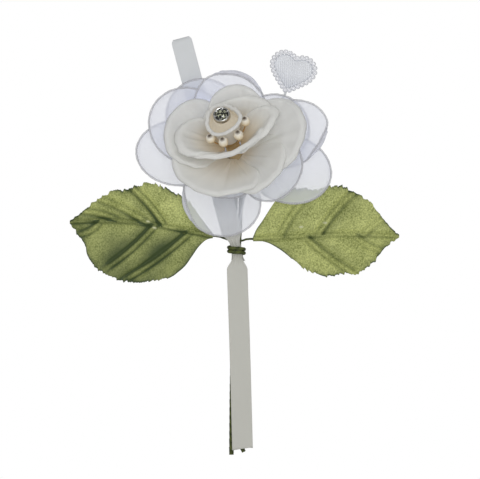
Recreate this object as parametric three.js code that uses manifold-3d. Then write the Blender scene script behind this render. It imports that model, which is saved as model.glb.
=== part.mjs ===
// A flower hair clip: a fabric rose with sheer outer petals, two wired leaves, a ribbon and a heart pick,
// bound to two wrapped stems and glued through a felt pad to a sprung clip.
// Millimetres. +X is the wearer's view right, +Z is up, the flower faces -Y and the hair is on the +Y side.
// The origin is on the plate's grip face, in the middle of the jaw.
import * as THREE from "three";
import { mergeVertices } from "three/addons/utils/BufferGeometryUtils.js";
import Module from "manifold-3d";

const wasm = await Module();
wasm.setup();

// ---------------------------------------------------------------- driving dimensions
const GAP = 0.3; // glue line or clearance between touching pieces
const RUNNING = 0.07; // radial clearance of the pin in its holes

// Clip
const JAW_TIP = -18; // X of the jaw's tip
const PIN_X = 14;
const PIN_RADIUS = 0.9;
const PLATE_THICK = 0.9;
const PLATE_WIDTH = 9;
const PLATE_REAR = 23; // X of the plate's rear end
const LEVER_THICK = 0.8;
const HAIR_GAP = 2.1; // between the plate and the lever's flat
const EAR_THICK = 0.8;
const EAR_CLEARANCE = 0.7; // between an ear and the lever
const LUG_THICK = 0.7;
const LUG_WALL = 1.1; // round the pin
const SPRING_WIRE = 0.7;
const TAB_RISE = 32; // degrees that the thumb tab stands up
const TAB_LENGTH = 15;

// Felt pad
const PAD_RADIUS = 15;
const PAD_THICK = 1.5;

// Stems and wires
const ROSE_STEM_RADIUS = 1.1;
const LEAF_STEM_RADIUS = 1.0;
const LEAF_WIRE_RADIUS = 0.55;
const HEART_STEM_RADIUS = 0.6;
const BIND_WIRE_RADIUS = 0.85;
const BIND_TURNS = 2;
const BIND_X = -0.7;
const BIND_Z = -52; // height of the binding's middle
const ROSE_STEM_END = -151;
const LEAF_STEM_END = -149.6;

// Ribbon
const RIBBON_WIDTH = 10;
const RIBBON_THICK = 0.4;
const RIBBON_PINCHED = 4.6; // its width under the binding
const RIBBON_OPENS = 6; // mm along the ribbon from the pinch to its full width
const LOOP_TOP = 50.5; // height of the loop's fold
const LOOP_LEAN = 14.7; // degrees from upright, to the left
const TAIL_LEAN = -1.7; // degrees from upright
const PINCH_HALF = 3.4; // half the height over which the ribbon stays pinched
const TAIL_END = -148;

// Rose
const ROSE_X = -1;
const ROSE_Z = -6;
const PETAL_THICK = 0.5;
const EDGE_WIRE_RADIUS = 0.4;
const ROSE_SCALE = 1; // all petal lengths and widths
const CORE_TILT = 32; // degrees that the rose's centre looks up
const TILT_TOWARDS = 110; // degrees in the face plane, from +X towards +Z
const SPIRAL_STEP = 0.02; // mm that a petal rises for each degree across it

// Heart pick
const HEART_WIDTH = 19.4;
const HEART_THICK = 2.4;
const HEART_LEAN = -18; // degrees, to the right
const PEARL_RADIUS = 1.15;
const PEARL_WAIST = 0.45; // radius of the string between two pearls
const PEARLS = 28;

// Leaves
const LEAF_THICK = 0.6;

// Centre
const BUD_RIM = 7.2; // radius
const BUD_TALL = 16;
const GEM_RADIUS = 3.0;
const GEM_HEIGHT = 34.6; // of the gem's widest line above the rose's back
const GEM_ASIDE = 2.1; // mm that the gem sits off the bud's middle
const STAMEN_TURNS = [-134, -92, -44, 8]; // degrees round the bud
const STAMEN_THREAD = 0.35; // radius
const STAMEN_BELL = 2.35; // radius

// ---------------------------------------------------------------- derived places
const LEVER_WIDTH = PLATE_WIDTH - 2 * (EAR_THICK + EAR_CLEARANCE);
const COIL_RADIUS = PIN_RADIUS + 0.4 + SPRING_WIRE / 2; // of the spring wire's middle
const COIL_OUTSIDE = COIL_RADIUS + SPRING_WIRE / 2;
const PIN_Y = COIL_OUTSIDE + 2.2;
const COIL_PITCH = SPRING_WIRE + 0.25;
const COIL_TURNS = Math.max(1, Math.floor((LEVER_WIDTH - 2 * (LUG_THICK + GAP) - SPRING_WIRE) / COIL_PITCH));
const PIN_SIDES = 24;
const PAD_BACK = -(PLATE_THICK + GAP);
const PAD_FRONT = PAD_BACK - PAD_THICK;
const STEM_Y = PAD_FRONT - GAP - ROSE_STEM_RADIUS; // stems lie against the pad's plane
const RIBBON_BACK_Y = STEM_Y - ROSE_STEM_RADIUS - GAP - 2 * HEART_STEM_RADIUS - 0.2;
const RIBBON_FRONT_Y = RIBBON_BACK_Y - RIBBON_THICK - 1.2;
const ROSE_Y = RIBBON_FRONT_Y - RIBBON_THICK / 2 - 1.6; // the plane of the lowest petals' roots
const STEM_SIDE = (ROSE_STEM_RADIUS + LEAF_STEM_RADIUS + GAP) / 2; // half the stems' spacing in the binding
// The leaves' wires are behind the stems.
const LEAF_WIRE_Y = STEM_Y + ROSE_STEM_RADIUS + GAP + LEAF_WIRE_RADIUS;
// The heart's stem lies in the groove in front of the two stems.
const HEART_STEM_Y = STEM_Y - Math.sqrt((ROSE_STEM_RADIUS + HEART_STEM_RADIUS + GAP) ** 2 - STEM_SIDE ** 2);

const V = (x, y, z) => new THREE.Vector3(x, y, z);
const rad = THREE.MathUtils.degToRad;
const lerp = THREE.MathUtils.lerp;
const smooth = (x) => THREE.MathUtils.smoothstep(x, 0, 1);

// ---------------------------------------------------------------- solids from surfaces and paths
const signedVolume = (points, triangles) =>
  triangles.reduce((sum, [a, b, c]) => sum + points[a].dot(points[b].clone().cross(points[c])) / 6, 0);

// A closed geometry from points and triangles, turned so that its faces point out.
function closedGeometry(points, triangles) {
  const facing = signedVolume(points, triangles) < 0 ? triangles.map(([a, b, c]) => [a, c, b]) : triangles;
  return new THREE.BufferGeometry()
    .setAttribute("position", new THREE.Float32BufferAttribute(points.flatMap((p) => p.toArray()), 3))
    .setIndex(facing.flat());
}

// A thin sheet with an even thickness. surface(s, w) gives its middle, and outline(v) gives how far along
// it each row lies and how far the row reaches to either side. A row with no width is one point.
function sheetSolid({ surface, outline, rows, columns, thickness }) {
  const points = [];
  const ids = [[], []];
  for (let i = 0; i <= rows; i++) {
    const { s, left, right } = outline(i / rows);
    const single = left + right < 1e-6;
    for (const side of [0, 1]) ids[side].push([]);
    for (let j = 0; j <= columns; j++) {
      if (single && j > 0) {
        for (const side of [0, 1]) ids[side][i].push(ids[side][i][0]);
        continue;
      }
      const w = lerp(-left, right, j / columns);
      const middle = surface(s, w);
      const along = surface(s + 0.05, w).sub(surface(s - 0.05, w));
      const across = surface(s, w + 0.05).sub(surface(s, w - 0.05));
      const normal = along.cross(across).normalize().multiplyScalar(thickness / 2);
      ids[0][i].push(points.push(middle.clone().add(normal)) - 1);
      ids[1][i].push(points.push(middle.clone().sub(normal)) - 1);
    }
  }
  const triangles = [];
  const quad = (a, b, c, d) => {
    for (const t of [[a, b, c], [a, c, d]]) if (new Set(t).size === 3) triangles.push(t);
  };
  const [front, back] = ids;
  for (let i = 0; i < rows; i++) {
    for (let j = 0; j < columns; j++) {
      quad(front[i][j], front[i][j + 1], front[i + 1][j + 1], front[i + 1][j]);
      quad(back[i][j], back[i + 1][j], back[i + 1][j + 1], back[i][j + 1]);
    }
    quad(front[i][0], front[i + 1][0], back[i + 1][0], back[i][0]);
    quad(front[i][columns], back[i][columns], back[i + 1][columns], front[i + 1][columns]);
  }
  for (let j = 0; j < columns; j++) {
    quad(front[0][j], back[0][j], back[0][j + 1], front[0][j + 1]);
    quad(front[rows][j], front[rows][j + 1], back[rows][j + 1], back[rows][j]);
  }
  return closedGeometry(points, triangles);
}

// A round tube along a curve, closed at its ends. radius(t) may vary along it.
function tube(curve, steps, sides, radius, closed = false) {
  const radiusAt = typeof radius === "function" ? radius : () => radius;
  const { normals, binormals } = curve.computeFrenetFrames(steps, closed);
  const points = [];
  const triangles = [];
  const rings = closed ? steps : steps + 1;
  for (let i = 0; i < rings; i++) {
    const centre = curve.getPointAt(i / steps);
    for (let k = 0; k < sides; k++) {
      const angle = (2 * Math.PI * k) / sides;
      points.push(
        centre
          .clone()
          .addScaledVector(normals[i], Math.cos(angle) * radiusAt(i / steps))
          .addScaledVector(binormals[i], Math.sin(angle) * radiusAt(i / steps)),
      );
    }
  }
  const id = (i, k) => (i % rings) * sides + (k % sides);
  for (let i = 0; i < (closed ? rings : rings - 1); i++)
    for (let k = 0; k < sides; k++)
      triangles.push([id(i, k), id(i + 1, k), id(i + 1, k + 1)], [id(i, k), id(i + 1, k + 1), id(i, k + 1)]);
  for (let k = 1; !closed && k < sides - 1; k++) {
    triangles.push([id(0, 0), id(0, k), id(0, k + 1)]);
    triangles.push([id(steps, 0), id(steps, k + 1), id(steps, k)]);
  }
  return closedGeometry(points, triangles);
}

const through = (...points) => new THREE.CatmullRomCurve3(points, false, "centripetal");

// ---------------------------------------------------------------- booleans
function toSolid(geometry) {
  const bare = geometry.index ? geometry.toNonIndexed() : geometry.clone();
  for (const name of ["normal", "uv"]) bare.deleteAttribute(name);
  const merged = mergeVertices(bare, 1e-4);
  return new wasm.Manifold(
    new wasm.Mesh({
      numProp: 3,
      vertProperties: new Float32Array(merged.attributes.position.array),
      triVerts: new Uint32Array(merged.index.array),
    }),
  );
}

function toGeometry(solid) {
  const { vertProperties, triVerts } = solid.getMesh();
  return new THREE.BufferGeometry()
    .setAttribute("position", new THREE.BufferAttribute(vertProperties, 3))
    .setIndex(new THREE.BufferAttribute(triVerts, 1));
}

// ---------------------------------------------------------------- the group
const group = new THREE.Group();
group.name = "flower_hair_clip";

const finishes = {
  organza: { color: 0xe6e8ee, roughness: 0.55, metalness: 0 },
  edge_thread: { color: 0xb9babf, roughness: 0.6, metalness: 0 },
  chiffon: { color: 0xe4e1d8, roughness: 0.7, metalness: 0 },
  cream_bead: { color: 0xd9c9a4, roughness: 0.35, metalness: 0 },
  crystal: { color: 0xdfe6e8, roughness: 0.05, metalness: 0 },
  silver_cup: { color: 0xc9c9c6, roughness: 0.25, metalness: 1 },
  leaf_satin: { color: 0x8f9855, roughness: 0.6, metalness: 0 },
  stem_tape: { color: 0x4d5426, roughness: 0.7, metalness: 0 },
  white_tape: { color: 0xcfd2d2, roughness: 0.7, metalness: 0 },
  ribbon_satin: { color: 0xd9dad6, roughness: 0.45, metalness: 0 },
  pearl: { color: 0xdcdce4, roughness: 0.25, metalness: 0 },
  heart_satin: { color: 0xd4d6da, roughness: 0.5, metalness: 0 },
  felt: { color: 0xe8e8e4, roughness: 0.95, metalness: 0 },
  clip_steel: { color: 0xb8babd, roughness: 0.3, metalness: 1 },
  foam: { color: 0xe9e4d4, roughness: 0.9, metalness: 0 },
};

function add(name, finish, geometry, parent = group) {
  const mesh = new THREE.Mesh(geometry, new THREE.MeshStandardMaterial(finishes[finish]));
  mesh.name = name;
  parent.add(mesh);
  return mesh;
}

// ---------------------------------------------------------------- the rose's petals
const CORE_RADIUS = 3.4;
const ROOT_RADIUS = CORE_RADIUS + PETAL_THICK / 2 + GAP + 0.65; // where petals leave the core
// Petals of one whorl lie on one bowl, whose side is a circular arc that leaves the core at rise[0] degrees
// and reaches rise[1] at ARC_LENGTH. A petal with a lift leaves the core that many degrees steeper. Each
// petal spirals across its bowl, so that it lies over one neighbour and under the other. A bowl is tipped
// back by its tilt, and pressed to an oval: wide across the flower and narrow along the way that it looks.
const ARC_LENGTH = 40;
const WHORLS = [
  {
    name: "sheer_back", sheer: true, tilt: 0, height: 0, rise: [2, 9], wide: 1, narrow: 1,
    petals: [
      { at: 34, reach: 38.5, half: 16, lift: 0 },
      { at: 130, reach: 42, half: 17, lift: 0 },
      { at: 178, reach: 47.5, half: 15, lift: 0 },
      { at: 252, reach: 39.5, half: 18.5, lift: 0 },
      { at: 345, reach: 46.5, half: 15.5, lift: 0 },
    ],
  },
  {
    name: "sheer_front", sheer: true, tilt: 6, height: 2.2, rise: [11, 19], wide: 1, narrow: 1,
    petals: [
      { at: 20, reach: 47.5, half: 15, lift: 0 },
      { at: 97, reach: 40.8, half: 16.5, lift: 0 },
      { at: 150, reach: 46, half: 17.5, lift: 0 },
      { at: 244, reach: 28, half: 15, lift: 24 },
      { at: 336, reach: 38, half: 16, lift: 16 },
    ],
  },
  {
    name: "chiffon_outer", sheer: false, tilt: 22, height: 5.6, rise: [37, 36], wide: 1, narrow: 1,
    petals: [
      { at: 6, reach: 46, half: 19, lift: 0 },
      { at: 82, reach: 33.5, half: 15, lift: 0 },
      { at: 168, reach: 38.5, half: 19, lift: 0 },
      { at: 246, reach: 37, half: 24, lift: 0 },
      { at: 318, reach: 38, half: 18, lift: 0 },
    ],
  },
  {
    name: "chiffon_inner", sheer: false, tilt: 30, height: 11, rise: [43, 62], wide: 1.12, narrow: 0.66,
    petals: [
      { at: 353, reach: 32, half: 17.5, lift: 0 },
      { at: 80, reach: 31, half: 17, lift: 0 },
      { at: 192, reach: 32, half: 18, lift: 0 },
      { at: 288, reach: 31, half: 19, lift: 0 },
    ],
  },
];

const TOWARDS = [Math.cos(rad(TILT_TOWARDS)), Math.sin(rad(TILT_TOWARDS))];

// A point in a whorl's own frame (right, up, forward) as a point of the part.
function fromRose(right, up, forward, tilt) {
  const along = right * TOWARDS[0] + up * TOWARDS[1];
  const shift = along * (Math.cos(rad(tilt)) - 1) + forward * Math.sin(rad(tilt));
  const raised = forward * Math.cos(rad(tilt)) - along * Math.sin(rad(tilt));
  return V(ROSE_X + right + shift * TOWARDS[0], ROSE_Y - raised, ROSE_Z + up + shift * TOWARDS[1]);
}

// Presses a round whorl to its oval. The root stays round, and the oval is full OVAL_RUN mm out from it.
const OVAL_RUN = 14;
function pressedOval(right, up, whorl) {
  const share = smooth((Math.hypot(right, up) - ROOT_RADIUS) / OVAL_RUN);
  const along = (right * TOWARDS[0] + up * TOWARDS[1]) * lerp(1, whorl.narrow, share);
  const across = (right * TOWARDS[1] - up * TOWARDS[0]) * lerp(1, whorl.wide, share);
  return [across * TOWARDS[1] + along * TOWARDS[0], along * TOWARDS[1] - across * TOWARDS[0]];
}

// The petal's middle surface: s runs from the core to the tip, and w to either side, as on the flat cloth.
function petalSurface(whorl, petal) {
  const start = rad(whorl.rise[0] + petal.lift);
  const bend = rad(whorl.rise[1] - whorl.rise[0]) / ARC_LENGTH;
  return (s, w) => {
    const flat = Math.hypot(s + ROOT_RADIUS, w);
    const rise = start + bend * (flat - ROOT_RADIUS);
    const out = ROOT_RADIUS + (Math.sin(rise) - Math.sin(start)) / bend;
    const high = whorl.height - (Math.cos(rise) - Math.cos(start)) / bend;
    const turn = Math.atan2(w, s + ROOT_RADIUS) * (flat / Math.max(out, ROOT_RADIUS * 0.7)) ** 0.8;
    const offset = SPIRAL_STEP * THREE.MathUtils.radToDeg(turn);
    const angle = rad(petal.at) + turn;
    const r = out - offset * Math.sin(rise);
    const [right, up] = pressedOval(r * Math.cos(angle), r * Math.sin(angle), whorl);
    return fromRose(right, up, high + offset * Math.cos(rise), whorl.tilt);
  };
}

const ROOT_HALF = 3.2; // half the petal's width where it leaves the core
const WIDEST_AT = 0.56; // share of the length at which it is widest
// The petal's outline: a narrow root that widens, then a round end.
function petalOutline(petal, grow = 0) {
  const length = (petal.reach - ROOT_RADIUS) * ROSE_SCALE;
  const half = petal.half * ROSE_SCALE;
  const widest = WIDEST_AT * length;
  return (v) => {
    if (v <= WIDEST_AT) {
      const w = lerp(ROOT_HALF, half, Math.sin((v / WIDEST_AT) * (Math.PI / 2))) + grow;
      return { s: v * length, left: w, right: w };
    }
    const turn = ((v - WIDEST_AT) / (1 - WIDEST_AT)) * (Math.PI / 2);
    const w = v < 1 ? (half + grow) * Math.cos(turn) : 0;
    return { s: widest + (length - widest + grow) * Math.sin(turn), left: w, right: w };
  };
}

function petalSolid(whorl, petal, rows, columns) {
  return sheetSolid({
    surface: petalSurface(whorl, petal),
    outline: petalOutline(petal),
    rows,
    columns,
    thickness: PETAL_THICK,
  });
}

// The wire in a sheer petal's hem, which follows its outline just outside the cloth.
function edgeWire(whorl, petal) {
  const surface = petalSurface(whorl, petal);
  const outline = petalOutline(petal, EDGE_WIRE_RADIUS + GAP);
  const side = [0.3, 0.45, WIDEST_AT, 0.64, 0.74, 0.86];
  const edge = (v, sign) => {
    const { s, left } = outline(v);
    return surface(s, sign * left);
  };
  const points = [...side.map((v) => edge(v, -1)), edge(1, 1), ...side.reverse().map((v) => edge(v, 1))];
  return tube(through(...points), 18, 5, EDGE_WIRE_RADIUS);
}

for (const whorl of WHORLS) {
  whorl.petals.forEach((petal, i) => {
    if (whorl.sheer) {
      add(whorl.name + "_petal_" + (i + 1), "organza", petalSolid(whorl, petal, 6, 5));
      add(whorl.name + "_edge_wire_" + (i + 1), "edge_thread", edgeWire(whorl, petal));
    } else {
      add(whorl.name + "_petal_" + (i + 1), "chiffon", petalSolid(whorl, petal, 6, 6));
    }
  });
}

// The foam core that the petals' roots are glued round. It leans with the whorls.
const CORE_TOP = 19;
const onAxis = (forward, tilt) => fromRose(0, 0, forward, tilt);
const coreLine = through(
  onAxis(-0.5, WHORLS[0].tilt),
  onAxis(WHORLS[1].height, WHORLS[1].tilt),
  onAxis(WHORLS[2].height, WHORLS[2].tilt),
  onAxis(WHORLS[3].height, WHORLS[3].tilt),
  onAxis(CORE_TOP, CORE_TILT),
);
add("rose_core", "foam", tube(coreLine, 6, 12, CORE_RADIUS));

// The rolled bud: one strip of cloth closed to a cup, whose rim waves and flares.
const BUD_FOOT = CORE_RADIUS + 1.3; // radius of the cup's foot
const BUD_BASE = 17.8; // its height on the tilted core
const BUD_THICK = 0.7;
function budPoint(turn, v) {
  const flare = 1.1 * v ** 6;
  const wave = 0.5 * v * Math.cos(3 * turn + 0.6);
  const radius = lerp(BUD_FOOT, BUD_RIM, v ** 0.8) + wave + flare;
  const high = BUD_BASE + v * (BUD_TALL + 1.1 * Math.sin(2 * turn + 2.2));
  return [radius, high];
}
{
  const around = 24;
  const up = 5;
  const points = [];
  const triangles = [];
  for (let i = 0; i <= up; i++)
    for (const side of [1, -1])
      for (let k = 0; k < around; k++) {
        const turn = (2 * Math.PI * k) / around;
        const [radius, high] = budPoint(turn, i / up);
        const r = radius + (side * BUD_THICK) / 2;
        points.push(fromRose(r * Math.cos(turn), r * Math.sin(turn), high, CORE_TILT));
      }
  const id = (i, side, k) => (i * 2 + side) * around + (k % around);
  const quad = (a, b, c, d) => triangles.push([a, b, c], [a, c, d]);
  for (let k = 0; k < around; k++) {
    for (let i = 0; i < up; i++) {
      quad(id(i, 0, k), id(i, 0, k + 1), id(i + 1, 0, k + 1), id(i + 1, 0, k));
      quad(id(i + 1, 1, k), id(i + 1, 1, k + 1), id(i, 1, k + 1), id(i, 1, k));
    }
    quad(id(up, 0, k), id(up, 0, k + 1), id(up, 1, k + 1), id(up, 1, k));
    quad(id(0, 1, k), id(0, 1, k + 1), id(0, 0, k + 1), id(0, 0, k));
  }
  add("bud_cup", "chiffon", closedGeometry(points, triangles));
}

// A turned solid: profile points (radius, height) round an axis, each placed in the part.
function turned(profile, sides, place) {
  const lathe = new THREE.LatheGeometry(profile.map(([r, h]) => new THREE.Vector2(r, h)), sides);
  for (const name of ["normal", "uv"]) lathe.deleteAttribute(name);
  const merged = mergeVertices(lathe, 1e-4);
  const position = merged.attributes.position;
  const points = [];
  for (let i = 0; i < position.count; i++) points.push(place(V().fromBufferAttribute(position, i)));
  const triangles = [];
  for (let i = 0; i < merged.index.count; i += 3) {
    const corners = [0, 1, 2].map((k) => merged.index.getX(i + k));
    if (new Set(corners).size === 3) triangles.push(corners);
  }
  return closedGeometry(points, triangles);
}

// The rhinestone and the cup that holds it, inside the bud on a short post on the core.
const CUP_RADIUS = GEM_RADIUS + 0.9;
const POST_RADIUS = 1.2;
const onCore = (p) => {
  return fromRose(p.x + GEM_ASIDE * TOWARDS[0], p.z + GEM_ASIDE * TOWARDS[1], p.y, CORE_TILT);
};
const SETTING_PROFILE = [
  [0, CORE_TOP + 2 * GAP],
  [POST_RADIUS, CORE_TOP + 2 * GAP],
  [POST_RADIUS, GEM_HEIGHT - 3.2],
  [CUP_RADIUS, GEM_HEIGHT - 0.9],
  [CUP_RADIUS, GEM_HEIGHT + 0.3],
  [GEM_RADIUS + GAP, GEM_HEIGHT + 0.3],
  [GEM_RADIUS + GAP, GEM_HEIGHT - 0.8],
  [0.8, GEM_HEIGHT - 2.6],
  [0, GEM_HEIGHT - 2.6],
];
const GEM_PROFILE = [
  [0, GEM_HEIGHT - 2.2],
  [GEM_RADIUS, GEM_HEIGHT - 0.2],
  [GEM_RADIUS, GEM_HEIGHT + 0.2],
  [GEM_RADIUS * 0.62, GEM_HEIGHT + 1.3],
  [0, GEM_HEIGHT + 1.3],
];
add("rhinestone_setting", "silver_cup", turned(SETTING_PROFILE, 16, onCore));
add("rhinestone", "crystal", turned(GEM_PROFILE, 12, onCore));

// Stamens stand round the bud. Each is a thread that ends in a bell, and the bell is BELL_SHARE of it.
const BELL_SHARE = 0.42;
function stamenRadius(share) {
  const rise = Math.max(0, (share - (1 - BELL_SHARE)) / BELL_SHARE);
  if (rise === 0) return STAMEN_THREAD;
  return Math.max(STAMEN_THREAD, STAMEN_BELL * Math.sin(Math.PI * (0.08 + 0.88 * rise)) ** 0.65);
}
STAMEN_TURNS.forEach((degrees, i) => {
  const turn = rad(degrees);
  const top = 31.5 - 0.9 * Math.cos(1.7 * i);
  const at = (radius, forward) =>
    fromRose(radius * Math.cos(turn), radius * Math.sin(turn), forward, CORE_TILT);
  const line = through(at(6.3, 18.2), at(7.5, 20.5), at(9.4, 25.5), at(9.9, top));
  add("stamen_" + (i + 1), "cream_bead", tube(line, 14, 8, stamenRadius));
});

// ---------------------------------------------------------------- calyx, stems and binding
const CALYX_RADIUS = 5.5;
const CALYX_FRONT = ROSE_Y + 1.25;
const CALYX_DEEP = PAD_FRONT - GAP - CALYX_FRONT;
const roseStem = through(
  V(-3.2, STEM_Y, ROSE_STEM_END),
  V(-3.0, STEM_Y, -125),
  V(-2.4, STEM_Y, -90),
  V(BIND_X - STEM_SIDE, STEM_Y, BIND_Z),
  V(BIND_X - STEM_SIDE + 0.3, STEM_Y, BIND_Z + 12),
  V(ROSE_X, STEM_Y, ROSE_Z - 12),
  V(ROSE_X, STEM_Y - 0.1, ROSE_Z - 5),
  V(ROSE_X, STEM_Y - 1.2, ROSE_Z - 1),
);
const leafStem = through(
  V(2.8, STEM_Y + 0.4, LEAF_STEM_END),
  V(1.4, STEM_Y + 0.2, LEAF_STEM_END + 3.2),
  V(0.4, STEM_Y, -138),
  V(-0.1, STEM_Y, -118),
  V(0.5, STEM_Y, -88),
  V(BIND_X + STEM_SIDE, STEM_Y, BIND_Z),
  V(BIND_X + STEM_SIDE + 0.5, STEM_Y, BIND_Z + 12),
  V(ROSE_X + 2 * STEM_SIDE + 0.1, STEM_Y, ROSE_Z - 16),
);
add("rose_stem", "stem_tape", tube(roseStem, 26, 9, ROSE_STEM_RADIUS));
add("leaf_stem", "stem_tape", tube(leafStem, 26, 9, LEAF_STEM_RADIUS));
{
  const profile = [
    [0, 0],
    [CALYX_RADIUS, 0],
    [CALYX_RADIUS, 1.2],
    [CALYX_RADIUS - 1.2, CALYX_DEEP],
    [0, CALYX_DEEP],
  ];
  const cup = turned(profile, 18, (p) => V(ROSE_X + p.x, CALYX_FRONT + p.y, ROSE_Z + p.z));
  const channel = toSolid(tube(roseStem, 26, 9, ROSE_STEM_RADIUS + GAP));
  const straight = new THREE.CapsuleGeometry(ROSE_STEM_RADIUS + GAP, 14, 3, 12);
  const below = toSolid(straight.translate(ROSE_X, STEM_Y, ROSE_Z - 8));
  add("calyx", "stem_tape", toGeometry(toSolid(cup).subtract(channel).subtract(below)));
}

// The binding: a wire wound round the stems, the wires and the pinched ribbon.
{
  const left = BIND_X - STEM_SIDE - ROSE_STEM_RADIUS;
  const right = BIND_X + STEM_SIDE + LEAF_STEM_RADIUS;
  const front = RIBBON_FRONT_Y - RIBBON_THICK / 2 - 0.6;
  const back = LEAF_WIRE_Y + LEAF_WIRE_RADIUS;
  const halfX = (right - left) / 2 + GAP + 0.3 + BIND_WIRE_RADIUS;
  const halfY = (back - front) / 2 + GAP + BIND_WIRE_RADIUS;
  const centre = V((left + right) / 2, (front + back) / 2, BIND_Z);
  const pitch = 2 * BIND_WIRE_RADIUS + 0.12;
  const squarish = (a) => Math.sign(a) * Math.abs(a) ** 0.62; // rounds the corners of a box-shaped turn
  const points = [];
  const steps = 20;
  for (let i = 0; i <= BIND_TURNS * steps; i++) {
    const turn = (2 * Math.PI * i) / steps;
    const x = centre.x + halfX * squarish(Math.sin(turn));
    const y = centre.y + halfY * squarish(Math.cos(turn));
    points.push(V(x, y, centre.z + pitch * (i / steps - BIND_TURNS / 2)));
  }
  add("bind_wire", "stem_tape", tube(through(...points), 48, 7, BIND_WIRE_RADIUS));
}

// ---------------------------------------------------------------- the ribbon
// One strip: the tail's cut end, up through the binding, round the loop's fold and back to the binding.
const loopDirection = V(-Math.sin(rad(LOOP_LEAN)), 0, Math.cos(rad(LOOP_LEAN)));
const bindPoint = V(BIND_X, RIBBON_FRONT_Y, BIND_Z);
const LOOP_LENGTH = (LOOP_TOP - BIND_Z) / Math.cos(rad(LOOP_LEAN));
const loopTop = bindPoint.clone().addScaledVector(loopDirection, LOOP_LENGTH);
const alongLoop = (share, y) => V(lerp(BIND_X, loopTop.x, share), y, lerp(BIND_Z, loopTop.z, share));
const ribbonPath = through(
  V(2.2, RIBBON_FRONT_Y + 0.8, TAIL_END),
  V(1.6, RIBBON_FRONT_Y + 0.4, -125),
  V(0.6, RIBBON_FRONT_Y + 0.2, -90),
  V(-0.3, RIBBON_FRONT_Y, -64),
  bindPoint,
  alongLoop(0.12, RIBBON_FRONT_Y),
  alongLoop(0.4, RIBBON_FRONT_Y),
  alongLoop(0.7, RIBBON_FRONT_Y),
  alongLoop(0.93, RIBBON_FRONT_Y - 0.35),
  alongLoop(0.985, RIBBON_FRONT_Y - 0.1),
  alongLoop(1, (RIBBON_FRONT_Y + RIBBON_BACK_Y) / 2),
  alongLoop(0.985, RIBBON_BACK_Y + 0.1),
  alongLoop(0.93, RIBBON_BACK_Y + 0.35),
  alongLoop(0.7, RIBBON_BACK_Y),
  alongLoop(0.4, RIBBON_BACK_Y),
  alongLoop(0.12, RIBBON_BACK_Y),
  alongLoop(-0.05, RIBBON_BACK_Y),
);
const RIBBON_LENGTH = ribbonPath.getLength();
function ribbonFrame(s) {
  const at = ribbonPath.getPointAt(THREE.MathUtils.clamp(s / RIBBON_LENGTH, 0, 1));
  const onLoop = smooth((at.z - (BIND_Z - 12)) / 24);
  const turn = lerp(TAIL_LEAN, LOOP_LEAN, onLoop);
  const near = Math.abs(at.z - BIND_Z);
  const half = lerp(RIBBON_PINCHED / 2, RIBBON_WIDTH / 2, smooth((near - PINCH_HALF) / RIBBON_OPENS));
  return { at, across: V(Math.cos(rad(turn)), 0, Math.sin(rad(turn))), half };
}
// The rows lie closer together at the binding and in the fold: places along the ribbon, in mm.
const TAIL_LENGTH = BIND_Z - TAIL_END;
const FOLD_AT = (RIBBON_LENGTH + TAIL_LENGTH + LOOP_LENGTH) / 2 - 2.6;
const RIBBON_ROWS = [
  ...[0.06, 30, 60],
  ...[-16, -9.4, -6.4, -PINCH_HALF, 0, PINCH_HALF, 6.4, 9.4, 16].map((d) => TAIL_LENGTH + d),
  ...[32, 55, 80, LOOP_LENGTH - 8, LOOP_LENGTH - 3].map((d) => TAIL_LENGTH + d),
  ...[-3.5, -2.6, -1.8, -1, -0.2, 0.6, 1.4, 4, 9, 32].map((d) => FOLD_AT + d),
  ...[-30, -22, -14.5, -11.6, -8.7, -5.3, -1.9, -0.06].map((d) => RIBBON_LENGTH + d),
];
const ribbonSurface = (s, w) => {
  const { at, across } = ribbonFrame(s);
  return at.addScaledVector(across, w);
};
const ribbonOutline = (v) => {
  const s = RIBBON_ROWS[Math.round(v * (RIBBON_ROWS.length - 1))];
  const { half } = ribbonFrame(s);
  return { s, left: half, right: half };
};
add(
  "ribbon",
  "ribbon_satin",
  sheetSolid({
    surface: ribbonSurface,
    outline: ribbonOutline,
    rows: RIBBON_ROWS.length - 1,
    columns: 2,
    thickness: RIBBON_THICK,
  }),
);

// ---------------------------------------------------------------- leaves
const LEAF_Y = STEM_Y - 0.6;
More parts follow.
